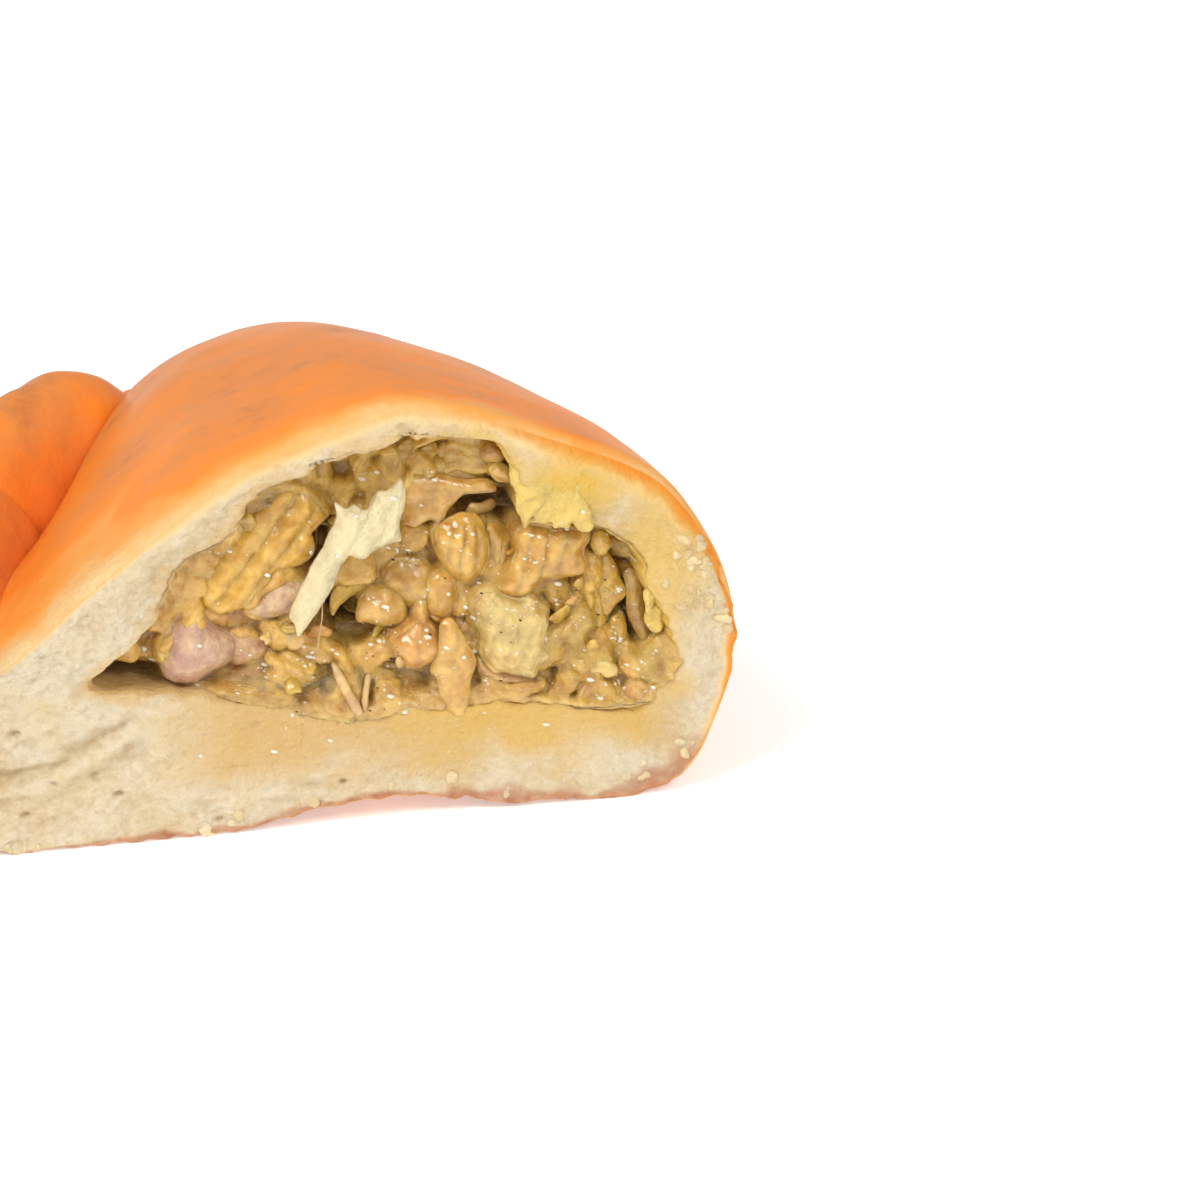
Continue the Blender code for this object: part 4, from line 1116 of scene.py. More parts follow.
def rim_share(edge):
    """How round the knife left the crust's edge, from 0 on the base to 1 on the dome and fold."""
    x, _, z = np.moveaxis(edge, -1, 0)
    return np.where(x < 20, smooth_step(4, 12, z), smooth_step(14, 24, z))


def dough_values(points, edge, mouth, wall_rows, crust_from):
    """How baked, glossy, soaked and base-like each point of the pastry is, from 0 to 1.

    `edge` and `mouth` are the distances on the cut to its outer edge and to the pocket. Each value
    is a sum or product of smooth steps over places on the cut, made uneven by noise.
    """
    x, y, z = np.moveaxis(points, -1, 0)
    row = np.arange(len(points))[:, None] * np.ones((1, points.shape[1]))
    outer = row >= crust_from
    inside = row < wall_rows
    # the crust pales towards the cut, over a longer stretch at the lower left
    streaks = points * np.array([0.45, 1.0, 1.0])
    mottle = 0.13 * noise(points, "wide mottle") + 0.09 * noise(streaks, "streaks")
    length = 8 + 6 * smooth_step(-20, -38, x) + 2.5 * noise(points, "pale stretch")
    length = np.where(x > 25, 5.0, length)
    baked = 0.60 + 0.12 * smooth_step(32, 46, z) + 0.16 * smooth_step(16, 60, y) + mottle
    baked = baked * (0.34 + 0.66 * smooth_step(-1.0, np.maximum(length, 2), y))
    # on the cut the crust's colour runs in as a narrow band, wider at the top right
    band = 1.6 + 1.2 * smooth_step(28, 38, z) + 0.9 * smooth_step(36, 41, x)
    band = band + 2.6 * smooth_step(14, 24, x) * smooth_step(24, 32, z)
    band = band * (1 + 0.35 * noise(points, "crust band")) * (1 - 0.45 * smooth_step(5, 2, z))
    skin = smooth_step(band, 0, edge) ** 1.3 * ~outer
    strong = 0.26 + 0.3 * smooth_step(14, 30, x) * smooth_step(6, 16, z)
    bake = np.where(outer, baked, skin * strong)
    base_band = 1.2 + 1.6 * smooth_step(8, 18, x) + 0.8 * smooth_step(9, 2, np.abs(x + 18))
    base_band = base_band * (1 + 0.5 * noise(points, "base band"))
    low = smooth_step(8, 4, z)
    under = smooth_step(3.4, 1.2, z) * outer + smooth_step(base_band, base_band * 0.4, edge) * low * ~outer
    under = np.clip(under, 0, 1) * (0.8 + 0.2 * noise(points, "base spots"))
    under[-2:] = 0
    soak = np.where(inside, 0.95, soaked(x, z, mouth) * ~outer * (1 - 0.7 * skin))
    gloss = np.where(outer, smooth_step(0.2, 0.45, bake), 0) * (1 - under)
    return {
        "bake": np.clip(bake, 0, 1), "under": np.clip(under, 0, 1), "sauce": np.clip(soak, 0, 1),
        "soak_mask": (soak > 0.02) * 1.0, "gloss": np.clip(gloss, 0, 1),
        "tone": smooth_step(-2, 14, x) * (1 - 0.5 * smooth_step(24, 32, z) * (x < 14))
        * (1 - 0.5 * smooth_step(15, 11, z)),
    }


def rope_of_pleats(steps=320, columns=150):
    """The rope: upright ovals along its path, swollen into slanting pleats, flat on the base."""
    path = open_spline(ROPE, steps)
    run = unit(np.gradient(path[:, :2], axis=0))
    side = np.stack([run[:, 1], -run[:, 0], np.zeros(steps)], -1)
    angle = turns(columns)
    along = np.linspace(0, 1, steps)[:, None]
    phase = PLEAT_START + along * PLEATS + PLEAT_SLANT * np.sin(angle)
    hump = np.abs(np.sin(math.pi * phase)) ** 0.7
    swell = 1 - PLEAT_DEPTH * (1 - hump)
    end = np.sqrt(np.clip(1 - (2 * along - 1) ** END_BLUNTNESS, 0, 1))
    at_place, over, depth = PRESSED
    pressed = 1 - depth * np.exp(-(((along - at_place) / over) ** 2)) * (np.cos(angle) > 0)
    across = path[:, 3, None] * np.cos(angle) * swell * end * pressed
    height = np.where(np.sin(angle) > 0, path[:, 4, None], ROPE_DEPTH)
    up = height * np.sin(angle) * swell * end
    points = path[:, None, :3] + side[:, None] * across[..., None]
    points[..., 2] += up
    out = points - path[:, None, :3]
    out = out / np.maximum(np.linalg.norm(out, axis=-1), 0.1)[..., None]
    wrinkle = noise(np.stack([phase * 9, 0.12 * points[..., 2], 0 * phase], -1), "rope wrinkles")
    wave = 0.4 * noise(points, "rope waves") + 0.22 * wrinkle * (1 - hump) ** 0.5
    points = points + out * wave[..., None]
    points[..., 2] = np.maximum(points[..., 2], 0)
    _, y, z = np.moveaxis(points, -1, 0)
    baked = 0.66 + 0.1 * hump + 0.12 * noise(points, "rope baking")
    baked = baked * (0.3 + 0.7 * smooth_step(-1, 14, y))
    under = smooth_step(2.2, 0.4, z)
    return ball(
        points, bake=np.clip(baked, 0, 1), gloss=smooth_step(0.12, 0.5, baked) * (1 - under),
        under=under, sauce=0.0, soak_mask=0.0, tone=0.0, hollow=0.3,
    )


class EMPANADA_OT_pastry(bpy.types.Operator):
    """Makes the pastry: crust, cut face and pocket, and the rope of pleats along the sealed edge"""

    bl_idname = "empanada.pastry"
    bl_label = "Pastry"

    def execute(self, context):
        dough = finish_named("baked_enriched_dough")
        show("pastry", pastry(), dough, ["dough"])
        show("rope_of_pleats", rope_of_pleats(), dough, ["dough"])
        return {"FINISHED"}


# ---------------------------------------------------------------- filling


# Seeded lumps on the heap: half length, half width, rise and lift, from and to, in mm
LUMP_SEED = 7
LUMP_LENGTH = (1.0, 3.2)
LUMP_WIDTH = (0.8, 1.9)
LUMP_RISE = (0.5, 1.5)
LUMP_LIFT = (-0.2, 0.6)
LUMP_SHADE = (0.72, 1.16)
SHARPNESS = 5.0  # how sharply the front-most lump takes over from the one behind

# Tints under the pocket's roof and along the wet lower border, the depth of that border, and how much red,
# green and blue the painted shade in the gaps and the olive right side take away
ROOF_TINT = "#CFA63E"
BORDER_TINT = "#CBA05A"
BORDER_DEPTH = 1.3
GAP_PAINTED_SHADE = np.array([0.76, 0.87, 0.93])
OLIVE_SHADE = np.array([0.3, 0.38, 0.85])


def tint_of(kind):
    """The linear colour of a kind of filling."""
    return np.array(getattr(bpy.context.scene.empanada_colours, kind))


def pocket_edge():
    """The pocket's outline on the cut, widened so that the heap reaches into its wall."""
    return pocket(np.linspace(-math.pi, math.pi, 1600), np.zeros(1600), CORE_GAP)


def pocket_span(z):
    """The widened pocket's left and right x at a height."""
    curve = pocket_edge()
    crosses = (curve[:-1, 2] - z) * (curve[1:, 2] - z) <= 0
    low, high = curve[:-1][crosses], curve[1:][crosses]
    rise = high[:, 2] - low[:, 2]
    part = (z - low[:, 2]) / np.where(rise == 0, 1, rise)
    x = low[:, 0] + (high[:, 0] - low[:, 0]) * part
    return x.min(), x.max()


def heap(rows=235, columns=400):
    """The filling's front as a grid of points, and their tints.

    Lumps lie on its slope. The depth at each point is a soft least of the slope's and all the
    lumps': the logarithm of their summed exponentials. The tint is weighed in the same way.
    """
    edge = pocket_edge()[:, 2]
    heights = np.linspace(edge.min() + 0.05, edge.max() - 0.05, rows)
    spans = np.array([pocket_span(z) for z in heights])
    share = np.linspace(0, 1, columns)
    x = spans[:, :1] + (spans[:, 1:] - spans[:, :1]) * share
    z = heights[:, None] + np.zeros((1, columns))
    base = front_of_filling(x, z)
    flat = points_at(x, z)
    away = np.hypot(x - POCKET_CENTRE[0], z - POCKET_CENTRE[1])
    turn = np.arctan2(z - POCKET_CENTRE[1], x - POCKET_CENTRE[0])
    # the border is flush with the cut along its lower edge
    border = radius_of(POCKET_OUTLINE, POCKET_CENTRE, turn) - CORE_GAP - away
    low = smooth_step(19, 16, z)
    flush = low * smooth_step(6.5, 2.0, border) * smooth_step(-15, -8, x)
    base = mixed(base, BORDER_DEPTH, flush)
    # small lumps with uneven outlines
    bent_x = x + 0.45 * noise(flat, "bend in x")
    bent_z = z + 0.45 * noise(flat, "bend in z")
    sauce = tint_of("deep_sauce") * (0.8 + 0.3 * smooth_step(11, 15, z))[..., None]
    weight = np.exp(-0.7 * SHARPNESS) * np.ones_like(x)
    paint = sauce * weight[..., None]
    rng = np.random.default_rng(LUMP_SEED)
    for _ in range(bpy.context.scene.empanada_shape.lumps):
        spot = (rng.integers(rows), rng.integers(columns))
        half = rng.uniform(*LUMP_LENGTH), rng.uniform(*LUMP_WIDTH)
        rise, lift, turn = rng.uniform(*LUMP_RISE), rng.uniform(*LUMP_LIFT), rng.uniform(0, math.pi)
        kind = lump_kind(x[spot], rng)
        shade = rng.uniform(*LUMP_SHADE)
        away_x, away_z = bent_x - x[spot], bent_z - z[spot]
        long = (away_x * math.cos(turn) + away_z * math.sin(turn)) / half[0]
        wide = (away_z * math.cos(turn) - away_x * math.sin(turn)) / half[1]
        inside = 1 - np.abs(long) ** 2.6 - np.abs(wide) ** 2.2
        grooves = 0.07 * np.sin(wide * (9 if kind == "chicken" else 4) + 2 * long)
        rise = rise * (1 - 0.6 * flush[spot])
        front = 0.6 * (base[spot] - base) + lift + grooves - rise * np.maximum(inside, 0) ** 0.5
        push = np.exp(-SHARPNESS * np.clip(front, -3, 3)) * smooth_step(0, 0.15, inside)
        push = push * (base - base[spot] < 1.5)
        weight += push
        sauced = 0.78 * tint_of(kind) * shade + 0.22 * tint_of("sauce")
        paint += sauced * push[..., None]
    # juice rises round the large pieces that aren't free
    for name, _, _, colour, depth, thick, *_, outline in PILLOWS:
        if name in FREE_PIECES:
            continue
        centre = np.mean(outline, axis=0)
        away_x = x - SIGHT[0] * depth - centre[0]
        away_z = z - SIGHT[1] * depth - centre[1]
        reach = radius_of(outline, centre, np.arctan2(away_z, away_x))
        share = smooth_step(1.35, 1.0, np.hypot(away_x, away_z) / reach)
        front = depth - 0.1 * thick + 4.5 * (1 - share) - base
        push = np.exp(-SHARPNESS * np.clip(front, -5, 3)) * (share > 0)
        weight += push
        sauced = 0.5 * linear(colour) + 0.5 * tint_of("deep_sauce")
        paint += sauced * push[..., None]
    y = base - np.log(weight) / SHARPNESS
    tint = paint / weight[..., None]
    # painted shade darkens the gaps, and the heap is paler under the roof and greener on the right
    gap = smooth_step(1.2, 4.5, base - front_slope(z))
    tint = tint * (1 - gap[..., None] * GAP_PAINTED_SHADE)
    roof = smooth_step(32, 36, z)[..., None] * 0.7 * (1 - gap[..., None])
    tint = mixed(tint, linear(ROOF_TINT), roof)
    # juice runs over the lower border on to the dough
    spilt = 0.85 * low * smooth_step(2.8, 1.3, border) * smooth_step(-16, -10, x)
    y = mixed(y, 0.1 + 0.35 * noise(flat, "spilt juice"), spilt)
    y = y + 4.0 * smooth_step(1.3 - spilt, 0.0, border) * low
    olive = 0.45 * smooth_step(17, 24, x)[..., None]
    tint = tint * (1 - olive * OLIVE_SHADE)
    wetted = (0.8 * low * smooth_step(3.2, 1.0, border))[..., None]
    tint = mixed(tint, linear(BORDER_TINT), wetted)
    here = points_at(x, z, y)
    near, number = nearest_cells(here + 0.5 * noise(here, "grain bend")[..., None], *HEAP_GRAINS)
    grain = smooth_step(0.8, 0.1, near) * smooth_step(0.1, 0.5, number)
    y = y + 0.2 * noise(here, "heap swell") - 0.3 * grain
    # painted shade: the front is darker in the hollows between lumps and a little lighter on their fronts,
    # while the grain's random tone is the food's own
    hollow = np.clip((y - blurred(y, 9)) / 0.7, -1, 1)
    shade = 1 + 0.16 * (2 * number - 1) * grain - 0.3 * np.clip(hollow, -0.4, 1)
    tint = tint * (shade[..., None] ** np.array([0.8, 1.0, 1.3]))
    return points_at(x, z, y), tint


def blurred(values, reach):
    """Each value's mean over the square of cells within reach, along rows and then columns."""
    for axis in (0, 1):
        size = values.shape[axis]
        ends = np.repeat(np.take(values, [0, -1], axis), reach, axis)
        first, last = np.split(ends, 2, axis)
        padded = np.concatenate([first, values, last], axis)
        run = np.concatenate([np.zeros_like(np.take(padded, [0], axis)), padded.cumsum(axis)], axis)
        span = 2 * reach + 1
        upper = np.take(run, np.arange(span, span + size), axis)
        values = (upper - np.take(run, np.arange(size), axis)) / span
    return values


def lump_kind(x, rng):
    """What a small lump is: chicken mostly on the left, onion in the middle, green on the right."""
    draw = rng.uniform()
    if x < -4:
        return "chicken" if draw < 0.4 else "meat" if draw < 0.75 else "onion"
    if x < 20:
        return "onion" if draw < 0.5 else "meat" if draw < 0.75 else "chicken"
    return "leek" if draw < 0.45 else "chicken" if draw < 0.7 else "onion"


def evenly_round(outline, step, least):
    """Points of the smooth closed outline, the same distance apart along it."""
    fine = catmull_rom(outline, 40)
    fine = np.concatenate([fine, fine[:1]])
    run = np.concatenate([[0], np.cumsum(np.linalg.norm(np.diff(fine, axis=0), axis=1))])
    count = max(least, int(run[-1] / step))
    at = np.arange(count) / count * run[-1]
    return np.stack([np.interp(at, run, fine[:, i]) for i in range(2)], -1)


def on_sight(x, z, depth):
    """The point at that depth which hides behind x and z on the cut's plane, seen by the camera."""
    return points_at(x + SIGHT[0] * depth, z + SIGHT[1] * depth, depth)


def pillow(outline, depth, thick, roundness, ragged, tilt, ridges, style, seed, step=0.16, least=16):
    """A closed pillow inside an outline.

    Rings shrink from the rim to the middle, in front and behind. A point's height is that of a
    quarter round whose width is the roundness, at the point's soft distance to the outline; a
    gentle dome, a tilt, ridges and the style's relief are added.
    """
    rim = evenly_round(outline, step, least + 8)
    middle = rim.mean(axis=0)
    reach = rim - middle
    uneven = ragged * unevenness(points_at(rim[:, 0], rim[:, 1], seed), 1.3, seed, 3)
    length = np.linalg.norm(reach, axis=1)
    rim = rim + reach * (uneven / length)[:, None]
    rows = max(least, int(length.mean() / step * 1.1))
    scale = np.sin(np.linspace(0, math.pi / 2, rows)[1:])[:, None] ** 0.8
    x = middle[0] + scale * (rim[:, 0] - middle[0])
    z = middle[1] + scale * (rim[:, 1] - middle[1])
    reach = soft_distance(x, z, rim)
    reach[-1] = 0
    within = np.clip(reach / roundness, 0, 1)
    height = thick * np.sqrt(1 - (1 - within) ** 2) * (0.75 + 0.25 * reach / reach.max())
    height = height + 0.05 * thick * unevenness(points_at(x, z), 0.8, seed + 2, 2) * within
    direction = math.radians(ridges[0])
    across = (x - middle[0]) * math.cos(direction) - (z - middle[1]) * math.sin(direction)
    across = across + 0.35 * unevenness(points_at(x, z, seed), 2.5, seed + 1, 2)
    crest = np.abs(np.sin(math.pi * across / ridges[1])) ** 0.8
    lean = tilt[0] * (x - middle[0]) + tilt[1] * (z - middle[1])
    front = -height - ridges[2] * (crest - 0.6) * within
    grain = RELIEFS[style](points_at(x, z, front), seed)
    front, back = front + lean + grain, height * 0.8 + lean + grain
    ahead, behind = on_sight(x, z, depth), on_sight(x, z, depth)[::-1]
    ahead[..., 1] += front
    behind[..., 1] += back[::-1]
    poles = [np.repeat(ring.mean(axis=1, keepdims=True), len(rim), axis=1)
             for ring in (ahead[:1], behind[-1:])]
    points = np.concatenate([poles[0], ahead, behind[1:], poles[1]])
    inner, crests = (
        np.concatenate([part[:1], part, part[::-1][1:], part[:1]]) for part in (within, crest)
    )
    return points, inner, crests


def soft_distance(x, z, rim):
    """Distance to the closed outline, smoothed where two sides are as near.

    It is the outline's mean of distance to the power -5, as a length: (3/4 sum d^-5 ds)^(-1/4).
    """
    step = np.linalg.norm(np.roll(rim, -1, axis=0) - rim, axis=1)
    total = np.zeros_like(x)
    for (at_x, at_z), width in zip(rim, step):
        total += width * ((x - at_x) ** 2 + (z - at_z) ** 2 + 0.004) ** -2.5
    return (0.75 * total) ** -0.25


def onion_relief(points, seed):
    """Smooth and slightly puckered: slow noise with a little fine noise on it."""
    return 0.2 * unevenness(points, 2.2, seed, 2) + 0.06 * unevenness(points, 0.9, seed + 9, 2)


def chicken_relief(points, seed):
    """Fibres in bundles and torn grains: noise drawn out along one direction, and lattice cells."""
    direction = seed % 5 * 0.6
    along = points[..., 0] * math.cos(direction) + points[..., 2] * math.sin(direction)
    wide = points[..., 2] * math.cos(direction) - points[..., 0] * math.sin(direction)
    fibres = unevenness(np.stack([along * 0.3, points[..., 1], wide], -1), 0.6, seed, 2)
    near, _ = nearest_cells(points, 1.1, seed + 4)
    return 0.1 * fibres + 0.25 * (near - 0.5) + 0.15 * unevenness(points, 1.8, seed, 2)


def meat_relief(points, seed):
    """Large smooth muscle with a few soft folds: wide noise with a trace of fine noise on it."""
    return 0.22 * unevenness(points, 2.6, seed, 3) + 0.04 * unevenness(points, 0.5, seed + 9, 2)


def dough_relief(points, seed):
    """Torn crumb with small grains: noise and lattice cells."""
    near, _ = nearest_cells(points, 0.8, seed + 4)
    return 0.2 * unevenness(points, 1.5, seed, 3) + 0.25 * (near - 0.5)


# Each style's relief and its finish
RELIEFS = {
    "onion": onion_relief, "chicken": chicken_relief, "pink": meat_relief, "dough": dough_relief,
}
FINISHES = {
    "onion": "cooked_onion", "chicken": "cooked_chicken", "pink": "cooked_chicken",
    "dough": "torn_wet_dough",
}


class EMPANADA_OT_filling(bpy.types.Operator):
    """Makes the heap of chopped onion, chicken and sauce that fills the pocket"""

    bl_idname = "empanada.filling"
    bl_label = "Filling"

    def execute(self, context):
        front, tint = heap()
        form = closed_cone(front, (POCKET_CENTRE[0], 25.0, POCKET_CENTRE[1]), tint=tint)
        show("heap", form, finish_named("juicy_filling"), ["filling"])
        return {"FINISHED"}


class EMPANADA_OT_large_pieces(bpy.types.Operator):
    """Makes the pieces of onion, chicken and dough that lie in front of the heap"""

    bl_idname = "empanada.large_pieces"
    bl_label = "Large Pieces"

    def execute(self, context):
        for number, row in enumerate(PILLOWS):
            name, node, style, colour, depth, thick, roundness, ragged, *tilt, ridges, outline = row
            seed = PILLOW_SEED + number
            points, within, crests = pillow(
                outline, depth, thick, roundness, ragged, tilt, ridges, style, seed
            )
            # juice gathers in patches, painted shade darkens each piece towards its rim where it meets the
            # others, and ridges are paler than grooves
            uneven = unevenness(points, 2.2, seed + 3, 4)[..., None]
            juice = 0.35 * smooth_step(0.2, 0.9, uneven) + 0.32 * (1 - within[..., None]) ** 1.5
            juice = juice * (0.25 if style == "dough" else 1)
            striped = (0.3 if style == "dough" else 0.9) * ridges[2] * (crests[..., None] - 0.55)
            tint = linear(colour) * (1 + 0.2 * uneven + striped)
            tint = mixed(tint, tint_of("deep_sauce"), juice)
            show(
                f"{name}_piece", ball(points, tint=tint), finish_named(FINISHES[style]),
                [node] if node else [],
            )
        return {"FINISHED"}


def thread(path, thickness, steps=40, columns=12):
    """A fibre along a path: round sections that taper to both ends, a little knotted."""
    line = open_spline(path, steps)
    run = unit(np.gradient(line, axis=0))
    side = unit(np.cross(run, [0.3, 1.0, 0.2]))
    other = np.cross(run, side)
    along = np.linspace(0, 1, steps)
    half = thickness / 2 * np.clip(1 - (2 * along - 1) ** 4, 0, 1) ** 0.5
    half = half * (1 + 0.3 * noise(line, "knots"))
    angle = turns(columns)
    ring = np.cos(angle)[None, :, None] * side[:, None] + np.sin(angle)[None, :, None] * other[:, None]
    return line[:, None] + ring * half[:, None, None]


class EMPANADA_OT_threads(bpy.types.Operator):
    """Makes the loose fibres of chicken and onion in front of the filling"""

    bl_idname = "empanada.threads"
    bl_label = "Threads"

    def execute(self, context):
        tint = linear(FIBRE_COLOUR)
        forms = [ball(thread(path, size), tint=tint) for path, size in THREADS]
        show("loose_fibres", joined(forms), finish_named("cooked_chicken"))
        return {"FINISHED"}


def spots_seen(places, endings):
    """What the camera sees at places x and z on the cut's plane: surface points and normals.

    A ray starts in front of the cut at each place and follows the line of sight to the first
    surface; only pieces whose names have the given endings count.
    """
    way = unit(np.array([SIGHT[0], 1.0, SIGHT[1]]))
    graph = bpy.context.evaluated_depsgraph_get()
    spots = []
    for x, z in places:
        start = (on_sight(np.array(x), np.array(z), -12.0) + PLACE) * MM
        hit, place, normal, _, thing, _ = bpy.context.scene.ray_cast(graph, start.tolist(), way.tolist())
        if hit and thing.name.endswith(endings):
            spots.append((np.array(place) / MM - PLACE, np.array(normal)))
    return spots


def scattered(count, low, high, seed):
    """Random places x and z between two corners, denser in random clusters."""
    rng = np.random.default_rng(seed)
    low, high = np.array(low), np.array(high)
    centres = rng.uniform(low, high, (max(1, count // 7), 2))
    spread = centres[rng.integers(len(centres), size=count)] + rng.normal(0, 1.3, (count, 2))
    alone = rng.uniform(low, high, (count, 2))
    return np.where(rng.uniform(size=(count, 1)) < 0.6, spread, alone)


def around_each(places, count, reach, seed):
    """`count` random places about `reach` mm round each given place."""
    rng = np.random.default_rng(seed)
    return np.repeat(places, count, axis=0) + rng.normal(0, reach, (len(places) * count, 2))


def scraps(spots, sizes, thick, style, colours, seed, step=0.3, least=4, sunk=0.2):
    """Small ragged pillows with random outlines, one on each spot.

    Each is sunk in what it lies on by a share of its thickness, and none goes below the base.
    """
    rng = np.random.default_rng(seed)
    forms = []
    angle = turns(9)
    for number, (place, normal) in enumerate(spots):
        length = rng.uniform(*sizes) * rng.uniform(0.6, 1.3, 9)
        outline = np.stack([np.cos(angle) * length * rng.uniform(0.6, 1.4), np.sin(angle) * length], -1)
        tilt = np.clip(-normal[[0, 2]] / min(normal[1], -0.3), -0.6, 0.6) + rng.uniform(-0.3, 0.3, 2)
        ridges = rng.uniform(0, 180), rng.uniform(0.7, 1.3), 0.3 * thick
        points, *_ = pillow(
            outline, 0.0, thick, 1.2 * thick, 0.2, tilt, ridges, style, seed + number, step, least
        )
        tint = linear(colours[rng.integers(len(colours))]) * rng.uniform(0.85, 1.12)
        points = points + place - sunk * thick * normal
        points[..., 2] = np.maximum(points[..., 2], 0)
        forms.append(ball(points, tint=tint))
    return joined(forms)


def dots(spots, sizes, flatness, seed, columns=10, rows=6):
    """One small flattened ball on each spot: rings round the spot's normal."""
    rng = np.random.default_rng(seed)
    around, slope = np.meshgrid(turns(columns), np.linspace(0, math.pi, rows))
    forms = []
    for place, normal in spots:
        size = sizes[0] + (sizes[1] - sizes[0]) * rng.uniform() ** 3
        side = unit(np.cross(normal, [0.3, 0.2, 0.9]))
        other = np.cross(normal, side)
        ring = np.sin(slope)[..., None] * (
            np.cos(around)[..., None] * side * rng.uniform(0.8, 2.2) + np.sin(around)[..., None] * other
        )
        ball_points = ring + np.cos(slope)[..., None] * normal * flatness
        forms.append(ball(place + ball_points * size))
    return joined(forms)


class EMPANADA_OT_drops(bpy.types.Operator):
    """Makes cream-white drops of juice whose colour paints glints on the filling, and its specks of pepper
    """

    bl_idname = "empanada.drops"
    bl_label = "Drops and Pepper"

    def execute(self, context):
        count = context.scene.empanada_shape.beads
        places = np.concatenate([
            scattered(count, (-16, 11), (34, 39), seed=81),
            around_each(GLINTS, 6, reach=0.55, seed=85),
        ])
        filling = ("_piece", "heap")
        spots = spots_seen(places, filling)
        spots += spots_seen(scattered(36, (-14, 9), (24, 14), seed=91), ("pastry",))
        # painted highlights: cream-white drops where the juice would glint
        form = dots(spots, sizes=(0.06, 0.25), flatness=0.5, seed=82)
        show("juice_drops", form, finish_named("oily_juice_drops"))
        spots = spots_seen(scattered(30, (-8, 12), (33, 38), seed=83), filling)
        form = dots(spots, sizes=(0.07, 0.16), flatness=0.7, seed=84, columns=6, rows=4)
        show("pepper", form, finish_named("ground_black_pepper"))
        return {"FINISHED"}


class EMPANADA_OT_scraps(bpy.types.Operator):
    """Makes small chopped pieces on the filling, frayed crumb on the fold and flakes along the base"""

    bl_idname = "empanada.scraps"
    bl_label = "Scraps"

    def execute(self, context):
        spots = spots_seen(scattered(40, (-14, 13), (34, 38), seed=95), ("heap",))
        form = scraps(spots, (0.8, 1.6), 0.65, "onion", SCRAP_COLOURS, seed=300)
        show("chopped_pieces", form, finish_named("cooked_onion"))
        frays = spots_seen(around_each(FRAYS, 4, reach=0.9, seed=100), ("pastry",))
        # those that face forwards
        frays = [spot for spot in frays if spot[1][1] < -0.75]
        flakes = spots_seen(around_each(FLAKES, 2, reach=0.8, seed=200), ("pastry",))
        small = {"step": 0.2, "least": 5}
        form = joined([
            scraps(frays, (0.3, 0.9), 0.45, "dough", FRAY_COLOURS, seed=400, sunk=0.62, **small),
            scraps(flakes, (0.35, 0.9), 0.35, "dough", FLAKE_COLOURS, seed=600, sunk=0.6, **small),
        ])
        show("torn_crumbs", form, finish_named("torn_wet_dough"))
        return {"FINISHED"}


# ---------------------------------------------------------------- stage


# What the camera and the lights point at, in mm, and the lights: their places and sizes in
# metres and their shares of the key light's power
TARGET = (29.5, -37.9, 22.9)
LIGHTS = (
    ("key", (-0.26, -0.27, 0.46), 0.18, 0.7),
    ("side", (0.18, -0.36, 0.38), 0.09, 0.22),
    ("fill", (0.05, -0.6, 0.25), 0.5, 0.12),
)


class EMPANADA_OT_stage(bpy.types.Operator):
    """Makes the pale floor, the studio light and the camera at the photograph's angle"""

    bl_idname = "empanada.stage"
    bl_label = "Stage"

    def execute(self, context):
        stage = context.scene.empanada_stage
        target = np.array(TARGET) * MM
        add_floor()
        add_studio(stage.ambient)
        for name, place, size, share in LIGHTS:
            add_light(name, place, target, size, stage.key * share)
        add_camera(stage, target)
        context.scene.view_settings.view_transform = "Standard"
        return {"FINISHED"}


def add_floor():
    """A plain white sheet that the half lies on."""
    side = 3.0
    mesh = bpy.data.meshes.new("floor")
    corners = [(-side, -side, 0), (side, -side, 0), (side, side, 0), (-side, side, 0)]
    mesh.from_pydata(corners, [], [(0, 1, 2, 3)])
    finish, _ = new_finish("white_paper_sheet")
    set_shader(finish, Base_Color=linear("#FCFCFA"), Roughness=0.9, Emission_Strength=0.34,
               Emission_Color=linear("#FFFFFF"))
    mesh.materials.append(finish)
    placed("floor", mesh)


def add_studio(strength):
    """A white room that lights the half from all sides."""
    world = bpy.data.worlds.new("studio")
    world.use_nodes = True
    background = world.node_tree.nodes["Background"]
    background.inputs["Color"].default_value = (1, 1, 1, 1)
    background.inputs["Strength"].default_value = strength
    bpy.context.scene.world = world


def looking(place, target):
    """The turn that points an object's -Z from its place to a target, with +Y upwards."""
    away = unit(np.array(place) - np.array(target))
    right = unit(np.cross(UP, away))
    return Matrix(np.stack([right, np.cross(away, right), away], 1)).to_euler()


def add_light(name, place, target, size, power):
    """A square soft light at a place, aimed at the target."""
    light = bpy.data.lights.new(name, "AREA")
    light.size = size
    light.energy = power
    lamp = placed(name, light)
    lamp.location = place
    lamp.rotation_euler = looking(place, target)


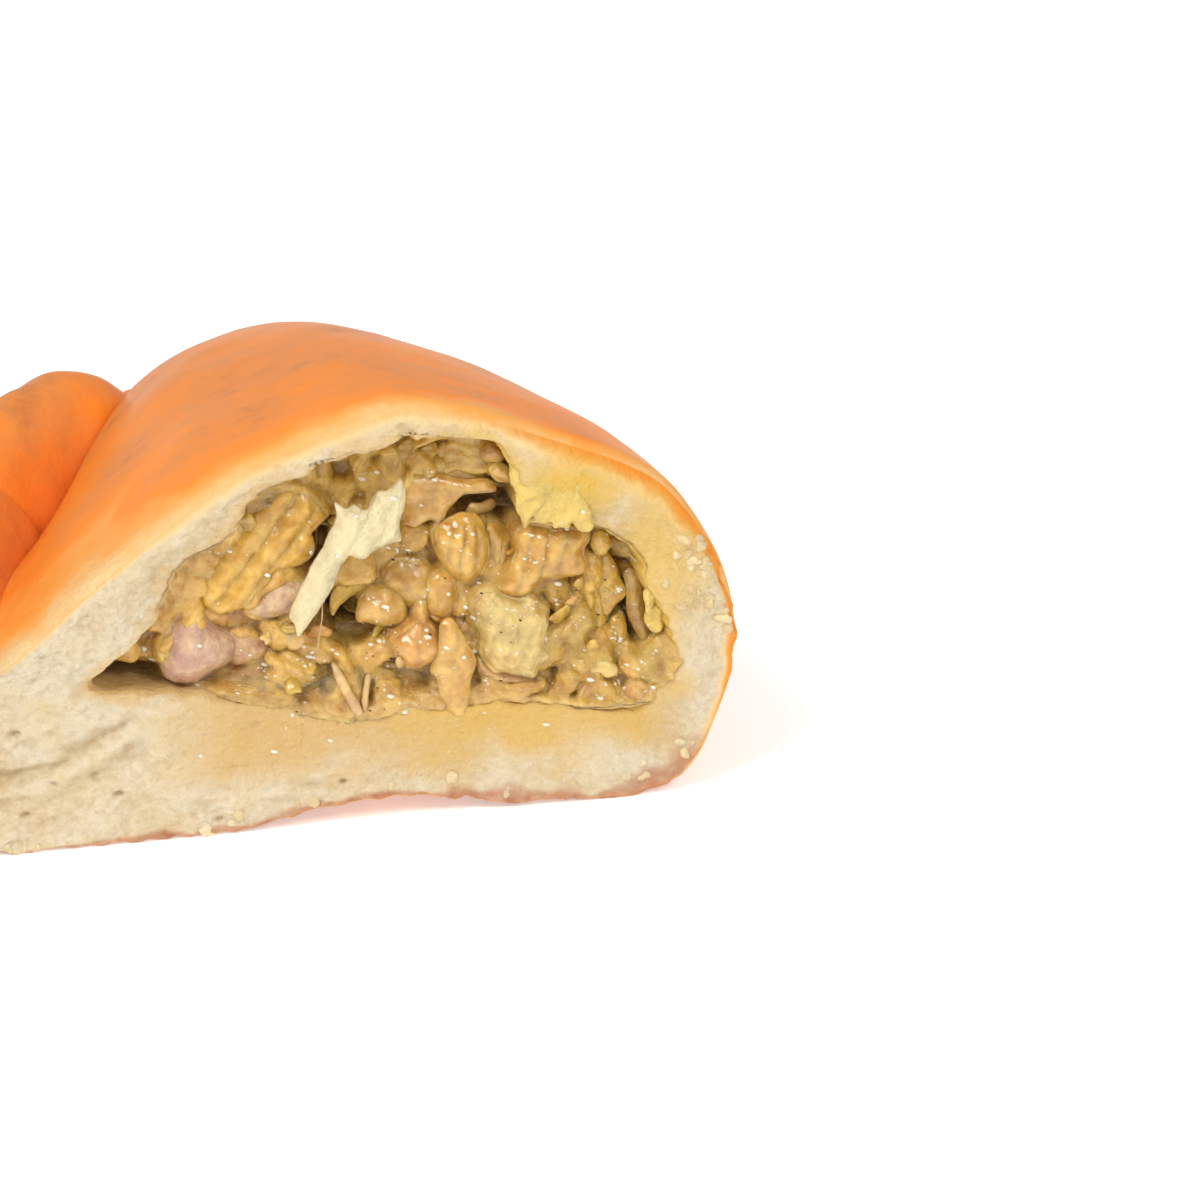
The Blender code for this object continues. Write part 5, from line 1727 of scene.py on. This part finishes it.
def add_camera(stage, target):
    """The camera on a sphere round its target, at the stage's azimuth and elevation."""
    level = math.cos(stage.elevation)
    back = np.array([
        math.sin(stage.azimuth) * level, -math.cos(stage.azimuth) * level, math.sin(stage.elevation)
    ])
    place = target + back * stage.distance
    lens = bpy.data.cameras.new("camera")
    lens.lens = stage.lens
    lens.sensor_width = 36.0
    lens.clip_start = 0.01
    camera = placed("camera", lens)
    camera.location = place
    camera.rotation_euler = looking(place, target)
    bpy.context.scene.camera = camera


# ---------------------------------------------------------------- panel and run


class EMPANADA_PT_panel(bpy.types.Panel):
    """Lists the empanada's settings and the buttons that make its pieces"""

    bl_label = "Cut Chicken Empanada"
    bl_space_type = "VIEW_3D"
    bl_region_type = "UI"
    bl_category = "Empanada"

    def draw(self, context):
        for group in (context.scene.empanada_shape, context.scene.empanada_colours,
                      context.scene.empanada_stage):
            box = self.layout.box()
            for name in group.bl_rna.properties.keys():
                if name not in ("rna_type", "name"):
                    box.prop(group, name)
        for maker in OPERATORS:
            self.layout.operator(maker.bl_idname)


OPERATORS = (
    EMPANADA_OT_pastry,
    EMPANADA_OT_filling,
    EMPANADA_OT_large_pieces,
    EMPANADA_OT_threads,
    EMPANADA_OT_scraps,
    EMPANADA_OT_drops,
    EMPANADA_OT_stage,
)
GROUPS = (
    ("empanada_shape", EmpanadaShape),
    ("empanada_colours", EmpanadaColours),
    ("empanada_stage", EmpanadaStage),
)


def register():
    for name, group in GROUPS:
        bpy.utils.register_class(group)
        setattr(bpy.types.Scene, name, bpy.props.PointerProperty(type=group))
    for maker in (*OPERATORS, EMPANADA_PT_panel):
        bpy.utils.register_class(maker)


def unregister():
    for maker in reversed((*OPERATORS, EMPANADA_PT_panel)):
        bpy.utils.unregister_class(maker)
    for name, group in reversed(GROUPS):
        delattr(bpy.types.Scene, name)
        bpy.utils.unregister_class(group)


def main():
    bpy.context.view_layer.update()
    register()
    bpy.ops.empanada.pastry()
    bpy.ops.empanada.filling()
    bpy.ops.empanada.large_pieces()
    bpy.ops.empanada.threads()
    bpy.ops.empanada.scraps()
    bpy.ops.empanada.drops()
    bpy.ops.empanada.stage()


if __name__ == "__main__":
    main()
